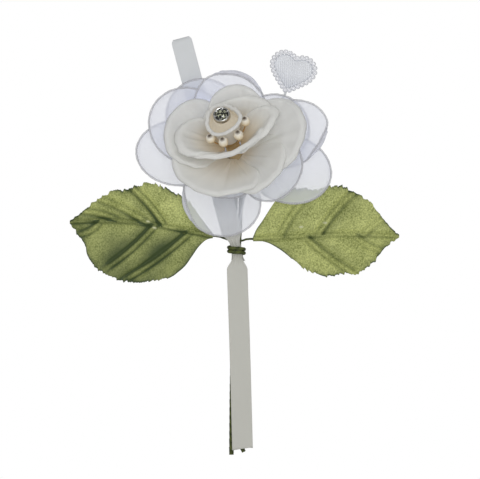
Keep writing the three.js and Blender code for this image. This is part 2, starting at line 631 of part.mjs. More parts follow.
// A leaf runs from its base to its tip. above and below list its half width at shares of its length.
const LEAVES = {
  left: {
    base: V(-12.1, LEAF_Y, -45.1), tip: V(-81.5, LEAF_Y, -38.3), wireX: -1.5,
    above: [
      [0, 1], [0.088, 7.5], [0.13, 10.8], [0.19, 15.5], [0.297, 19.3], [0.4, 21.7], [0.49, 22.4],
      [0.56, 20.6], [0.62, 18.6], [0.7, 17.6], [0.76, 15.2], [0.84, 11.2], [0.9, 7.2], [0.95, 3.4],
      [1, 0.6],
    ],
    below: [
      [0, 1], [0.04, 2], [0.088, 5.5], [0.13, 10.6], [0.172, 15.7], [0.214, 18.9], [0.255, 21.4],
      [0.339, 23.6], [0.423, 25.2], [0.549, 26.2], [0.633, 25.4], [0.717, 23.4], [0.801, 20.2],
      [0.842, 16.5], [0.884, 10.9], [0.926, 6.6], [1, 0.6],
    ],
  },
  right: {
    base: V(7.3, LEAF_Y, -46.6), tip: V(78.1, LEAF_Y, -45.1), wireX: 1.5,
    above: [
      [0, 1], [0.024, 4.6], [0.065, 8.6], [0.106, 13], [0.147, 17.2], [0.188, 20.8], [0.25, 23.2],
      [0.33, 24.4], [0.42, 23.2], [0.5, 24.2], [0.6, 25], [0.68, 22.6], [0.76, 18.8],
      [0.805, 17.2], [0.846, 12.8], [0.9, 8.2], [0.95, 3.6], [1, 0.6],
    ],
    below: [
      [0, 1], [0.065, 1.2], [0.106, 2.1], [0.188, 5.6], [0.27, 10.4], [0.352, 15.2], [0.42, 17.2],
      [0.517, 18.8], [0.6, 17.6], [0.7, 17.8], [0.763, 15.6], [0.846, 10.4], [0.904, 5.4],
      [1, 0.6],
    ],
  },
};
// A smooth curve through stations.
const stations = (list) => {
  const curve = new THREE.CatmullRomCurve3(list.map(([v, w]) => V(v * 40, w, 0)), false, "centripetal");
  const samples = curve.getPoints(120);
  return (v) => {
    const after = samples.findIndex((p) => p.x >= v * 40 - 1e-9);
    if (after <= 0) return samples[0].y;
    const [a, b] = [samples[after - 1], samples[after]];
    return lerp(a.y, b.y, (v * 40 - a.x) / (b.x - a.x));
  };
};
for (const [side, leaf] of Object.entries(LEAVES)) {
  const along = leaf.tip.clone().sub(leaf.base);
  const length = along.length();
  along.normalize();
  const upwards = V(-along.z, 0, along.x).multiplyScalar(Math.sign(along.x));
  const aboveAt = stations(leaf.above);
  const belowAt = stations(leaf.below);
  const surface = (s, w) => {
    const v = s / length;
    const arch = -0.9 * Math.sin(Math.PI * v) + 3.2 * v ** 3;
    const fold = 0.055 * Math.abs(w);
    const wave = 0.5 * Math.sin(7 * v + Math.sign(w)) * Math.min(1, (w / 20) ** 2);
    const depth = V(0, arch + fold + wave, 0);
    return leaf.base.clone().addScaledVector(along, s).addScaledVector(upwards, w).add(depth);
  };
  add(
    "leaf_" + side,
    "leaf_satin",
    sheetSolid({
      surface,
      outline: (v) => ({ s: v * length, left: belowAt(v), right: aboveAt(v) }),
      rows: 12,
      columns: 6,
      thickness: LEAF_THICK,
    }),
  );
  const behind = (v) => surface(v * length, 0).add(V(0, LEAF_THICK / 2 + GAP + LEAF_WIRE_RADIUS + 0.12, 0));
  const start = V(BIND_X + leaf.wireX, LEAF_WIRE_Y, BIND_Z + 0.7);
  const near = leaf.base.clone().addScaledVector(along, -3).setY(LEAF_WIRE_Y);
  const path = through(
    start,
    start.clone().add(V(0, 0, 3.4)),
    start.clone().lerp(near, 0.55).add(V(0, 0, 1.6)),
    near,
    ...[0.06, 0.2, 0.4, 0.6, 0.75].map(behind),
  );
  add("leaf_wire_" + side, "stem_tape", tube(path, 20, 6, LEAF_WIRE_RADIUS));
}

// ---------------------------------------------------------------- heart pick
const HEART_AT = V(26, STEM_Y - 1.2, 33.8);
const heartFrame = (x, y, depth) => {
  const turn = rad(HEART_LEAN);
  const right = x * Math.cos(turn) - y * Math.sin(turn);
  const up = x * Math.sin(turn) + y * Math.cos(turn);
  return V(HEART_AT.x + right, HEART_AT.y + depth, HEART_AT.z + up);
};
// The heart's outline, with its point at the bottom: a full heart curve eased towards a plain egg.
const EGG_SHARE = 0.4;
const OUTLINE_SIZE = 31.2; // width of the curve below, in its own units
function heartCurve(t, size) {
  const full = V(
    16 * Math.sin(t) ** 3,
    13 * Math.cos(t) - 5 * Math.cos(2 * t) - 2 * Math.cos(3 * t) - Math.cos(4 * t),
    0,
  );
  const egg = V(15 * Math.sin(t), 12.5 * Math.cos(t) - 1, 0);
  return full.lerp(egg, EGG_SHARE).add(V(0, 2.8, 0)).multiplyScalar(size / OUTLINE_SIZE);
}
// A point of the outline, moved outwards by a distance.
function heartOutline(t, size, outwards = 0) {
  const along = heartCurve(t + 0.08, size).sub(heartCurve(t - 0.08, size)).normalize();
  const p = heartCurve(t, size).addScaledVector(V(-along.y, along.x, 0), outwards);
  return [p.x, p.y];
}
{
  const steps = 36;
  const ring = (size, depth) =>
    Array.from({ length: steps }, (_, i) => {
      const [x, y] = heartOutline((2 * Math.PI * i) / steps, size);
      return heartFrame(x, y, depth);
    });
  const half = HEART_THICK / 2;
  const rings = [
    ring(HEART_WIDTH * 0.5, -half - 0.55),
    ring(HEART_WIDTH * 0.85, -half - 0.1),
    ring(HEART_WIDTH, -half + 0.7),
    ring(HEART_WIDTH, half - 0.4),
    ring(HEART_WIDTH * 0.9, half),
  ];
  const points = rings.flat();
  const front = points.push(heartFrame(0, 0.6, -half - 0.7)) - 1;
  const back = points.push(heartFrame(0, 0.6, half)) - 1;
  const triangles = [];
  for (let k = 0; k < steps; k++) {
    const next = (k + 1) % steps;
    for (let i = 0; i < rings.length - 1; i++) {
      const [low, high] = [i * steps, (i + 1) * steps];
      triangles.push([low + k, low + next, high + next], [low + k, high + next, high + k]);
    }
    const last = (rings.length - 1) * steps;
    triangles.push([front, next, k], [back, last + k, last + next]);
  }
  add("heart_body", "heart_satin", closedGeometry(points, triangles));
}
// The pearls: one moulded string round the heart's rim, which rounds off the notch between the lobes.
{
  const around = Array.from({ length: 120 }, (_, i) => (2 * Math.PI * i) / 120);
  const clear = PEARL_RADIUS + GAP;
  const rim = around.map((t) => heartOutline(t, HEART_WIDTH));
  const clearOfRim = ([x, y]) => rim.every(([rx, ry]) => Math.hypot(x - rx, y - ry) > 0.96 * clear);
  const line = around
    .filter((t) => Math.sin(t / 2) > 0.12)
    .map((t) => heartOutline(t, HEART_WIDTH, clear))
    .filter(clearOfRim)
    .map(([x, y]) => heartFrame(x, y, -0.35));
  const bulge = lerp(PEARL_WAIST, PEARL_RADIUS, 0.6);
  const beads = [PEARL_WAIST, bulge, PEARL_RADIUS, PEARL_RADIUS, bulge];
  const steps = beads.length * PEARLS;
  const beaded = (t) => beads[Math.round(t * steps) % beads.length];
  add("heart_pearls", "pearl", tube(new THREE.CatmullRomCurve3(line, true), steps, 6, beaded, true));
}
{
  const below = 2 * PEARL_RADIUS + 2 * GAP;
  const [pointX, pointY] = heartOutline(Math.PI, HEART_WIDTH, below + 0.5);
  const line = through(
    V(BIND_X + 0.05, HEART_STEM_Y, BIND_Z + 0.1),
    V(BIND_X + 0.05, HEART_STEM_Y, BIND_Z + 6),
    V(1.0, HEART_STEM_Y - 0.35, BIND_Z + 15),
    V(2.6, HEART_STEM_Y - 0.3, -28),
    V(5.6, STEM_Y - 1.3, -19),
    V(9.5, STEM_Y - 0.7, -8),
    V(15.4, STEM_Y - 0.6, 8),
    heartFrame(pointX, pointY - 5, 0),
    heartFrame(pointX, pointY, 0),
  );
  add("heart_stem", "white_tape", tube(line, 22, 7, HEART_STEM_RADIUS));
}

// ---------------------------------------------------------------- felt pad
const pad = new THREE.CylinderGeometry(PAD_RADIUS, PAD_RADIUS, PAD_THICK, 28);
add("felt_pad", "felt", toGeometry(toSolid(pad.translate(0, (PAD_FRONT + PAD_BACK) / 2, 0))));

// ---------------------------------------------------------------- the clip
const EAR_OUTER = PLATE_WIDTH / 2;
const EAR_INNER = EAR_OUTER - EAR_THICK;
function box(x0, x1, y0, y1, z0, z1) {
  const block = new THREE.BoxGeometry(x1 - x0, y1 - y0, z1 - z0);
  return toSolid(block.translate((x0 + x1) / 2, (y0 + y1) / 2, (z0 + z1) / 2));
}
function roundAlongZ(radius, z0, z1) {
  const rod = new THREE.CylinderGeometry(radius, radius, z1 - z0, PIN_SIDES).rotateX(Math.PI / 2);
  return toSolid(rod.translate(PIN_X, PIN_Y, (z0 + z1) / 2));
}
const pinHole = roundAlongZ(PIN_RADIUS + RUNNING, -PLATE_WIDTH, PLATE_WIDTH);

// Plate: rounded at its corners, with two ears that carry the pin.
{
  const corner = 2;
  const shape = new THREE.Shape();
  const [x0, x1, z] = [JAW_TIP, PLATE_REAR, PLATE_WIDTH / 2];
  shape.moveTo(x0 + corner, -z).lineTo(x1 - corner, -z);
  shape.absarc(x1 - corner, -z + corner, corner, -Math.PI / 2, 0);
  shape.absarc(x1 - corner, z - corner, corner, 0, Math.PI / 2);
  shape.absarc(x0 + corner, z - corner, corner, Math.PI / 2, Math.PI);
  shape.absarc(x0 + corner, -z + corner, corner, Math.PI, 1.5 * Math.PI);
  const settings = { depth: PLATE_THICK, bevelEnabled: false, curveSegments: 4 };
  const blank = new THREE.ExtrudeGeometry(shape, settings);
  let plate = toSolid(blank.rotateX(Math.PI / 2));
  const wall = PIN_RADIUS + 1.7;
  for (const side of [-1, 1]) {
    const [a, b] = side > 0 ? [EAR_INNER, EAR_OUTER] : [-EAR_OUTER, -EAR_INNER];
    const ear = box(PIN_X - wall, PIN_X + wall, -PLATE_THICK / 2, PIN_Y, a, b);
    plate = plate.add(ear).add(roundAlongZ(wall, a, b));
  }
  add("clip_base", "clip_steel", toGeometry(plate.subtract(pinHole)));
}

// Lever: a bowed prong, two lugs on the pin, and a thumb tab. Its strip is drawn along a line in X and Y.
{
  const tabX = Math.cos(rad(TAB_RISE));
  const tabY = Math.sin(rad(TAB_RISE));
  const flat = HAIR_GAP + LEVER_THICK / 2;
  const tip = GAP + LEVER_THICK / 2;
  const bridge = PIN_Y + COIL_OUTSIDE; // the strip passes over the coil here
  const line = [
    [JAW_TIP, tip],
    [JAW_TIP + 2.2, tip],
    [JAW_TIP + 5.5, flat],
    [PIN_X - 6, flat],
    [PIN_X - 3.7, flat + 1.6],
    [PIN_X - 2.1, bridge + 0.3],
    [PIN_X, bridge + 1.1],
    [PIN_X + TAB_LENGTH * tabX, bridge + 1.1 + TAB_LENGTH * tabY],
  ];
  // One side of the strip: the line moved sideways by half the thickness, and mitred at its bends.
  const side = (sign) =>
    line.map(([x, y], i) => {
      const [beforeX, beforeY] = line[Math.max(i - 1, 0)];
      const [afterX, afterY] = line[Math.min(i + 1, line.length - 1)];
      const inwards = V(x - beforeX, y - beforeY, 0);
      const onwards = V(afterX - x, afterY - y, 0);
      const bend = inwards.length() && onwards.length() ? inwards.angleTo(onwards) : 0;
      const along = inwards.normalize().add(onwards.normalize()).normalize();
      const offset = (sign * LEVER_THICK) / 2 / Math.max(0.6, Math.cos(bend / 2));
      return new THREE.Vector2(x - along.y * offset, y + along.x * offset);
    });
  const shape = new THREE.Shape([...side(1), ...side(-1).reverse()]);
  const half = LEVER_WIDTH / 2;
  const strip = new THREE.ExtrudeGeometry(shape, { depth: LEVER_WIDTH, bevelEnabled: false });
  let lever = toSolid(strip.translate(0, 0, -half));
  for (const [a, b] of [[half - LUG_THICK, half], [-half, -half + LUG_THICK]]) {
    const eye = roundAlongZ(PIN_RADIUS + LUG_WALL, a, b);
    const top = box(PIN_X - 2.4, PIN_X + 1.2, bridge + 0.2, bridge + 0.9, a, b);
    lever = lever.add(wasm.Manifold.hull([eye, top]));
  }
  add("clip_lever", "clip_steel", toGeometry(lever.subtract(pinHole)));
}

// Pin: headed at both ends.
{
  const headThick = 0.6;
  const headRadius = PIN_RADIUS + 0.7;
  const reach = EAR_OUTER + GAP;
  const shank = roundAlongZ(PIN_RADIUS, -reach - headThick / 2, reach + headThick / 2);
  const upper = roundAlongZ(headRadius, reach, reach + headThick);
  const lower = roundAlongZ(headRadius, -reach - headThick, -reach);
  add("clip_pin", "clip_steel", toGeometry(shank.add(upper).add(lower)));
}

// Torsion spring: turns round the pin, one leg under the thumb tab and one on the plate.
{
  const tab = rad(TAB_RISE);
  const startZ = (-COIL_PITCH * COIL_TURNS) / 2;
  // A point reach mm along a direction from the pin, and aside mm to its left.
  const beside = (angle, reach, aside, z) => {
    const x = PIN_X + Math.cos(angle) * reach - Math.sin(angle) * aside;
    return V(x, PIN_Y + Math.sin(angle) * reach + Math.cos(angle) * aside, z);
  };
  const points = [11.5, 6, 2.2].map((reach) => beside(tab, reach, COIL_RADIUS, startZ));
  const turns = 12 * COIL_TURNS;
  const from = tab + Math.PI / 2;
  const to = 1.5 * Math.PI + 2 * Math.PI * (COIL_TURNS - 1);
  for (let i = 0; i <= turns; i++) {
    const share = i / turns;
    points.push(beside(lerp(from, to, share), COIL_RADIUS, 0, lerp(startZ, -startZ, share)));
  }
  const onPlate = -(PIN_Y - GAP - SPRING_WIRE / 2 - 0.05);
  points.push(beside(0, 2.2, -COIL_RADIUS, -startZ));
  points.push(beside(0, 4.5, -COIL_RADIUS - 0.7, -startZ));
  points.push(beside(0, 7.5, onPlate, -startZ));
  add("clip_spring", "clip_steel", tube(through(...points), 64, 6, SPRING_WIRE / 2));
}

export default group;
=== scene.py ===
# %% [markdown]
# # A flower hair clip
# A cloth rose with sheer outer petals stands on two taped stems, with two satin leaves, a looped ribbon and
# a small heart pick, all bound with one wire and glued to a sprung hair clip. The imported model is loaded
# first, because every piece below takes its place and its moving body from it.

# %% Load the frame
import math

import bpy
import numpy as np
from mathutils import Matrix, Vector


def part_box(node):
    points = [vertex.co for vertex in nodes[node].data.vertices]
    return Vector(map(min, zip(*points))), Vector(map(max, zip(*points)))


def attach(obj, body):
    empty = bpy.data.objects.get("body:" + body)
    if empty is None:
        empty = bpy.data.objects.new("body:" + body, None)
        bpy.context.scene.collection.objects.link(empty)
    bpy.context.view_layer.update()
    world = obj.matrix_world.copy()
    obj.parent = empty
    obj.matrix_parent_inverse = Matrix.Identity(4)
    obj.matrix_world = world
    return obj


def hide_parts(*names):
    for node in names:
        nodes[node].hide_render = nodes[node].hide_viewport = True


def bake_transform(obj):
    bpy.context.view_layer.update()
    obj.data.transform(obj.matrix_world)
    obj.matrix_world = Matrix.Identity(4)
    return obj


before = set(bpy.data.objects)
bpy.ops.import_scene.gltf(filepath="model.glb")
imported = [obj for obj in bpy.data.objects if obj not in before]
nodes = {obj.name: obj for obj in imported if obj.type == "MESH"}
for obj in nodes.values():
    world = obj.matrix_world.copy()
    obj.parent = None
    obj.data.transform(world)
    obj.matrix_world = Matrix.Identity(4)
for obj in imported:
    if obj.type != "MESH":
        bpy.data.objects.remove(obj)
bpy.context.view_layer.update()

MM = 0.001
scene = bpy.context.scene

# %% [markdown]
# ## The view
# The object is seen straight from its flower side, level, from far enough away that nothing looks bent by
# perspective. A long lens two and a half metres off does that. The camera is made first, so that it can be
# moved by hand while the pieces are being made.

# %% Camera
FRAME_WIDTH = 0.2328
CAMERA_AWAY = 2.5
SENSOR = 36.0
VIEW_X, VIEW_Z = 0.97 * MM, -46.8 * MM
bpy.ops.object.camera_add(location=(VIEW_X, -CAMERA_AWAY, VIEW_Z), rotation=(math.pi / 2, 0, 0))
camera = bpy.context.active_object
camera.data.sensor_width = SENSOR
camera.data.lens = SENSOR * CAMERA_AWAY / FRAME_WIDTH
camera.data.clip_end = 50
scene.camera = camera
print("lens", round(camera.data.lens, 1), "mm")

# %% [markdown]
# ## The studio
# White cloth in front of a white sweep shows its form only by soft shade. Two broad lamps beside the camera,
# one a little high and one low, reach into the hollows of the flower. A key lamp from the upper left and a
# weak one from the right give it shape, and one above and behind shines through the thin cloth. The room
# itself is a pale even glow. Sheer petals lie over one another, so a ray must be let through many layers.

# %% Lights, room and floor
ROOM_GLOW = 0.27
FLOOR_HEIGHT = -0.30


def area_light(name, place, power, size, aim=(0, 0, -0.02)):
    """A square lamp: its power in watts, and its place, size and aim in metres."""
    bpy.ops.object.light_add(type="AREA", location=place)
    lamp = bpy.context.active_object
    lamp.name = name
    lamp.data.energy = power
    lamp.data.size = size
    lamp.rotation_euler = (Vector(aim) - Vector(place)).to_track_quat("-Z", "Y").to_euler()


area_light("front", (0.1, -1.6, 0.25), 7.6, 0.7)
area_light("key", (-0.55, -0.75, 0.75), 1.9, 0.5)
area_light("fill", (0.8, -0.7, 0.1), 0.8, 0.8)
area_light("back", (0.15, 0.6, 0.8), 2.2, 0.6)
area_light("low", (-0.1, -1.2, -0.2), 2.2, 0.6, aim=(0, 0, -0.06))

room = bpy.data.worlds.new("studio")
scene.world = room
room.use_nodes = True
links = room.node_tree.links
glow = room.node_tree.nodes["Background"]
glow.inputs["Color"].default_value = (1, 1, 1, 1)
glow.inputs["Strength"].default_value = ROOM_GLOW
sweep = room.node_tree.nodes.new("ShaderNodeBackground")
sweep.inputs["Color"].default_value = (1, 1, 1, 1)
choose = room.node_tree.nodes.new("ShaderNodeMixShader")
seen = room.node_tree.nodes.new("ShaderNodeLightPath")
links.new(seen.outputs["Is Camera Ray"], choose.inputs[0])
links.new(glow.outputs[0], choose.inputs[1])
links.new(sweep.outputs[0], choose.inputs[2])
links.new(choose.outputs[0], room.node_tree.nodes["World Output"].inputs["Surface"])

bpy.ops.mesh.primitive_plane_add(size=3.0, location=(0, 0, FLOOR_HEIGHT))
floor = bpy.context.active_object
floor.name = "floor"
paper = bpy.data.materials.new("floor_paper")
paper.use_nodes = True
paper_shader = paper.node_tree.nodes["Principled BSDF"]
paper_shader.inputs["Base Color"].default_value = (0.86, 0.86, 0.85, 1)
paper_shader.inputs["Roughness"].default_value = 0.9
floor.data.materials.append(paper)
scene.view_settings.view_transform = "Standard"
scene.cycles.transparent_max_bounces = 32
scene.cycles.max_bounces = 20
scene.cycles.diffuse_bounces = 16

# %% [markdown]
# ## Shader arithmetic
# A finish is a small network of nodes. Written with a class that wraps a socket and knows + - and *, it reads
# like the sum that it is. One method adds any other node: its type, its settings, then its inputs.

# %% The two classes that every finish uses
class Flow:
    """A socket that can be added, multiplied and so on, each of which adds a Math node."""

    def __init__(self, tree, socket):
        self.tree = tree
        self.socket = socket

    def maths(self, operation, *others):
        added = self.tree.nodes.new("ShaderNodeMath")
        added.operation = operation
        for slot, value in zip(added.inputs, others):
            feed(self.tree, slot, value)
        return Flow(self.tree, added.outputs[0])

    def __add__(self, other): return self.maths("ADD", self, other)
    def __radd__(self, other): return self.maths("ADD", other, self)
    def __sub__(self, other): return self.maths("SUBTRACT", self, other)
    def __mul__(self, other): return self.maths("MULTIPLY", self, other)
    def __rmul__(self, other): return self.maths("MULTIPLY", other, self)
    def sine(self): return self.maths("SINE", self)
    def held(self): return self.maths("MINIMUM", self.maths("MAXIMUM", self, 0.0), 1.0)


def feed(tree, slot, value):
    """Links a flow to an input, or sets a plain value there. Text is the code of a colour."""
    if isinstance(value, Flow):
        tree.links.new(value.socket, slot)
    else:
        slot.default_value = colour(value) if isinstance(value, str) else value


def colour(code):
    """A colour as a maker's chart gives it, such as 7a8045, in the linear numbers that a shader wants."""
    parts = [int(code[i:i + 2], 16) / 255 for i in (0, 2, 4)]
    return tuple(p / 12.92 if p <= 0.04045 else ((p + 0.055) / 1.055) ** 2.4 for p in parts) + (1.0,)


class Finish:
    """A material with one Principled shader. Constants are given by the names of its sockets."""

    def __init__(self, name, **constants):
        self.material = bpy.data.materials.new(name)
        self.material.use_nodes = True
        self.tree = self.material.node_tree
        self.shader = self.tree.nodes["Principled BSDF"]
        self.set(**constants)

    def set(self, **values):
        for key, value in values.items():
            feed(self.tree, self.shader.inputs[key.replace("_", " ")], value)

    def node(self, kind, settings=None, inputs=None, out=0):
        added = self.tree.nodes.new("ShaderNode" + kind)
        for key, value in (settings or {}).items():
            if key == "stops":
                ramp = added.color_ramp.elements
                while len(ramp) < len(value):
                    ramp.new(0.5)
                for stop, (place, tint) in zip(ramp, value):
                    stop.position = place
                    stop.color = colour(tint)
            else:
                setattr(added, key, value)
        for key, value in (inputs or {}).items():
            feed(self.tree, added.inputs[key], value)
        return Flow(self.tree, added.outputs[out])

    def object_place(self):
        return self.node("TexCoord", out="Object")

    def uv(self, axis):
        both = self.node("TexCoord", out="UV")
        return self.node("SeparateXYZ", inputs={0: both}, out=axis)

    def noise(self, scale, detail=4.0, where=None):
        where = where or self.object_place()
        return self.node("TexNoise", inputs={"Vector": where, "Scale": scale, "Detail": detail}, out="Fac")

    def mark(self, name):
        """A number that the mesh carries at each of its points."""
        return self.node("Attribute", {"attribute_name": name}, out="Fac")

    def mix(self, share, first, second):
        return self.node("Mix", {"data_type": "RGBA"}, {0: share, 6: first, 7: second}, out=2)

    def mottled(self, scale, detail, first, second):
        """Two near colours in soft clouds."""
        return self.mix(self.noise(scale, detail), first, second)

    def let_light_through(self, share, tint):
        """Mixes in the light that reaches the cloth's other side."""
        through = self.tree.nodes.new("ShaderNodeBsdfTranslucent")
        feed(self.tree, through.inputs["Color"], tint)
        both = self.tree.nodes.new("ShaderNodeMixShader")
        both.inputs[0].default_value = share
        self.tree.links.new(self.shader.outputs[0], both.inputs[1])
        self.tree.links.new(through.outputs[0], both.inputs[2])
        self.tree.links.new(both.outputs[0], self.tree.nodes["Material Output"].inputs["Surface"])

    def bump(self, height, distance, strength=1.0):
        normal = self.node("Bump", inputs={"Height": height, "Distance": distance, "Strength": strength})
        self.set(Normal=normal)


# %% [markdown]
# ## Finishes of the cloth
# Organza is a net of fine twisted threads, half of it air, with the cut edge sealed by heat into a grey line.
# Chiffon is a softer, closer cloth. Deep in the flower its colour is painted a warm amber shade, and it has a
# faint painted glow. Satin for the leaves has painted shade along its veins. Each weave follows the cloth, so
# it reads the piece's own flat map, in which one unit is a centimetre.

# %% Organza, hem, chiffon
FULL_TURN = 6.2832
WAVE_PER_MM = FULL_TURN * 10


def weave(finish, pitch):
    """A plain weave of threads, pitch millimetres apart, from 0 in a gap to 1 on a crossing."""
    across = (finish.uv("X") * (WAVE_PER_MM / pitch)).sine()
    along = (finish.uv("Y") * (WAVE_PER_MM / pitch)).sine()
    return (across * along) * 0.5 + 0.5


organza = Finish("organza_white", Roughness=0.5, Specular_IOR_Level=0.25)
net = weave(organza, 0.42)
cloud = organza.noise(90.0, 3.0)
doubled = organza.mark("doubled")
# The emission is a painted glow: the sheer cloth gives off a little light of its own, which lifts the shade
# where its layers lie over one another.
organza.set(
    Base_Color=organza.mix(doubled, "eceef6", "b2b0b2"),
    Alpha=(0.2 + net * 0.05 + cloud * 0.08 + doubled * 0.5).held(),
    Emission_Color="eceff8", Emission_Strength=0.2,
)
organza.let_light_through(0.22, "eef0f8")
organza.bump(net, 0.00004, 0.6)

hem = Finish("hem_grey", Roughness=0.55, Specular_IOR_Level=0.3)
hem_twist = (hem.uv("X") * FULL_TURN * 2 + hem.uv("Y") * (WAVE_PER_MM / 1.1)).sine()
hem.set(
    Base_Color=hem.mottled(700.0, 2.0, "b4b4b8", "dcdcdf"),
    Alpha=(0.5 + hem_twist * 0.08).held(),
)
hem.bump(hem_twist, 0.00008, 0.5)

chiffon = Finish("chiffon_white", Roughness=0.8, Specular_IOR_Level=0.12)
# The amber tint deep in the flower is painted shade: warm where the cloth lies in shade and the amber core
# shows through it.
amber = chiffon.mark("amber")
crinkle = chiffon.noise(420.0, 6.0)
soft_cloud = chiffon.noise(70.0, 3.0)
plain_white = chiffon.mix(soft_cloud, "e6e6e4", "f3f3f1")
petal_tint = chiffon.mix(amber, plain_white, "e8d3a6")
# The emission is a painted glow that lifts the cloth's shade, deep in the flower too.
chiffon.set(Base_Color=petal_tint, Emission_Color=petal_tint, Emission_Strength=0.06)
chiffon.let_light_through(0.45, petal_tint)
chiffon.bump(crinkle + weave(chiffon, 0.5) * 0.25, 0.00012, 0.55)
print("cloth finishes ready")

# %% Satin and ribbon
leaf_satin = Finish("leaf_satin_green", Specular_IOR_Level=0.35, Sheen_Weight=0.15)
# The vein mark is painted shade: dark in the valleys beside each vein and broad on one side of it.
vein = leaf_satin.mark("vein")
# The edge mark carries the dark torn rim and also painted shade on the lower half of the leaf.
edge = leaf_satin.mark("edge")
glue = leaf_satin.mark("glue")
leaf_thread = (leaf_satin.uv("Y") * (WAVE_PER_MM / 0.55) + leaf_satin.noise(60.0, 2.0) * 3.0).sine()
blotch = leaf_satin.noise(110.0, 5.0)
grain = ((leaf_satin.noise(1500.0, 2.0) - 0.5) * 2.2 + (blotch - 0.5) * 1.2 + 0.55).held()
leaf_green = leaf_satin.mix(grain, "767f3b", "c9cf80")
leaf_dark_rim_and_painted_shade = leaf_satin.mix((vein + edge).held(), leaf_green, "36461a")
leaf_satin.set(
    Base_Color=leaf_satin.mix(glue, leaf_dark_rim_and_painted_shade, "cfd2a8"),
    Roughness=(0.52 + leaf_thread * 0.06 - glue * 0.25).held(),
)
leaf_satin.bump(leaf_thread * 0.5 + leaf_satin.noise(900.0, 3.0), 0.00008, 0.45)

ribbon_satin = Finish("ribbon_satin_white", Specular_IOR_Level=0.4, Sheen_Weight=0.1)
ribbon_thread = (ribbon_satin.uv("Y") * (WAVE_PER_MM / 0.45)).sine()
ribbon_warp = (ribbon_satin.uv("X") * (WAVE_PER_MM / 0.3)).sine()
ribbon_white = ribbon_satin.mottled(60.0, 3.0, "cdcfd1", "d9dcde")
ribbon_satin.set(
    Base_Color=ribbon_satin.mix(ribbon_satin.mark("tail"), ribbon_white, "c0bfb5"),
    Roughness=(0.42 + ribbon_warp * 0.05 + ribbon_satin.noise(260.0, 3.0) * 0.12).held(),
)
ribbon_satin.bump(ribbon_thread + ribbon_warp * 0.4, 0.00005, 0.5)

heart_satin = Finish("heart_satin_white", Roughness=0.45, Specular_IOR_Level=0.4)
# The darker colour is painted shade between the ribs, low on the heart and along its rim.
heart_satin.set(Base_Color=heart_satin.mix(heart_satin.mark("groove"), "e9ebef", "c3c6cc"))
heart_satin.bump(heart_satin.noise(1200.0, 2.0), 0.00004, 0.3)
print("satin finishes ready")

# %% [markdown]
# ## Finishes of the hard pieces
# Florist's tape is stretched crêpe paper with wax in it: dull, crinkled, and wound at a slant. The bead heads
# are dipped cream, with painted shade under and inside the bells. The rhinestone is cut glass over foil, with
# its glints and dark reflections painted into its colour, and the clip is brushed nickel steel.

# %% Tape, beads, glass, metal, felt, foam
white_tape = Finish("white_tape", Roughness=0.6, Specular_IOR_Level=0.3)
white_tape.set(Base_Color=white_tape.mottled(900.0, 4.0, "c3c6c6", "e3e5e6"))
white_tape.bump(white_tape.noise(1500.0, 4.0), 0.0001, 0.5)

tape = Finish("stem_tape_green", Roughness=0.62, Specular_IOR_Level=0.3)
crepe = tape.noise(1500.0, 5.0)
tape_slant = (tape.uv("X") * FULL_TURN + tape.uv("Y") * (WAVE_PER_MM / 4.0)).sine()
tape.set(Base_Color=tape.mix((crepe * 0.7 + tape_slant * 0.2).held(), "2a3415", "6a7138"))
tape.bump(crepe + tape_slant * 0.3, 0.00015, 0.6)

cream_bead = Finish("cream_bead", Specular_IOR_Level=0.5, Coat_Weight=0.25, Coat_Roughness=0.15)
upwards = cream_bead.uv("Y")
# Along each stamen the colour is amber on the thread and under the bell, which is painted shade beneath the
# bell, then cream on the bell. The dark stop at the tip is a painted shadow in the bell's mouth.
bead_tint_and_painted_shade = cream_bead.node("ValToRGB", {"stops": [
    (0.0, "b58a52"), (0.6, "cfa56c"), (0.76, "e6d3ac"),
    (0.93, "eee8db"), (0.99, "4a3b2a")]}, {0: upwards})
cream_bead.set(Base_Color=bead_tint_and_painted_shade, Roughness=(0.3 + cream_bead.noise(900.0, 3.0) * 0.25).held())
cream_bead.bump(cream_bead.noise(1300.0, 3.0), 0.00006, 0.4)

pearl = Finish("pearl", Coat_Weight=0.6, Coat_Roughness=0.1, Specular_IOR_Level=0.5)
pearl.set(
    Base_Color=pearl.mottled(500.0, 2.0, "e2e3e8", "f2f3f6"),
    Roughness=(0.22 + pearl.noise(1500.0, 2.0) * 0.15).held(),
)

crystal = Finish("crystal", Transmission_Weight=0.25, IOR=1.6, Coat_Weight=0.6)
# The bright and near-black spots in the glass's colour are painted reflections: glints and dark mirrored spots
# of the facets.
painted_facet_reflections = ((crystal.noise(1000.0, 1.0) - 0.52) * 14.0).held()
crystal.set(
    Base_Color=crystal.mix(painted_facet_reflections, "0e0f0a", "c9ccae"),
    Roughness=(0.03 + crystal.noise(2000.0, 1.0) * 0.03).held(),
)

silver = Finish("silver_cup", Metallic=1.0)
silver.set(
    Base_Color=silver.mottled(800.0, 3.0, "a9a9a7", "dcdcda"),
    Roughness=(0.18 + silver.noise(1600.0, 3.0) * 0.2).held(),
)

steel = Finish("clip_steel", Metallic=1.0)
along_brush = {"Vector": steel.object_place(), "Scale": (60.0, 2500.0, 2500.0)}
brushing = steel.noise(1.0, 3.0, steel.node("Mapping", inputs=along_brush))
steel.set(
    Base_Color=steel.mottled(150.0, 3.0, "a4a6a9", "c6c8cb"),
    Roughness=(0.22 + brushing * 0.22).held(),
)
steel.bump(brushing, 0.00002, 0.35)

felt = Finish("felt_white", Roughness=0.95, Sheen_Weight=0.4, Specular_IOR_Level=0.1)
fuzz = felt.noise(1400.0, 6.0)
felt.set(Base_Color=felt.mix(fuzz, "cfcfc9", "f2f2ee"))
felt.bump(fuzz + felt.noise(350.0, 4.0) * 0.6, 0.0004, 0.8)

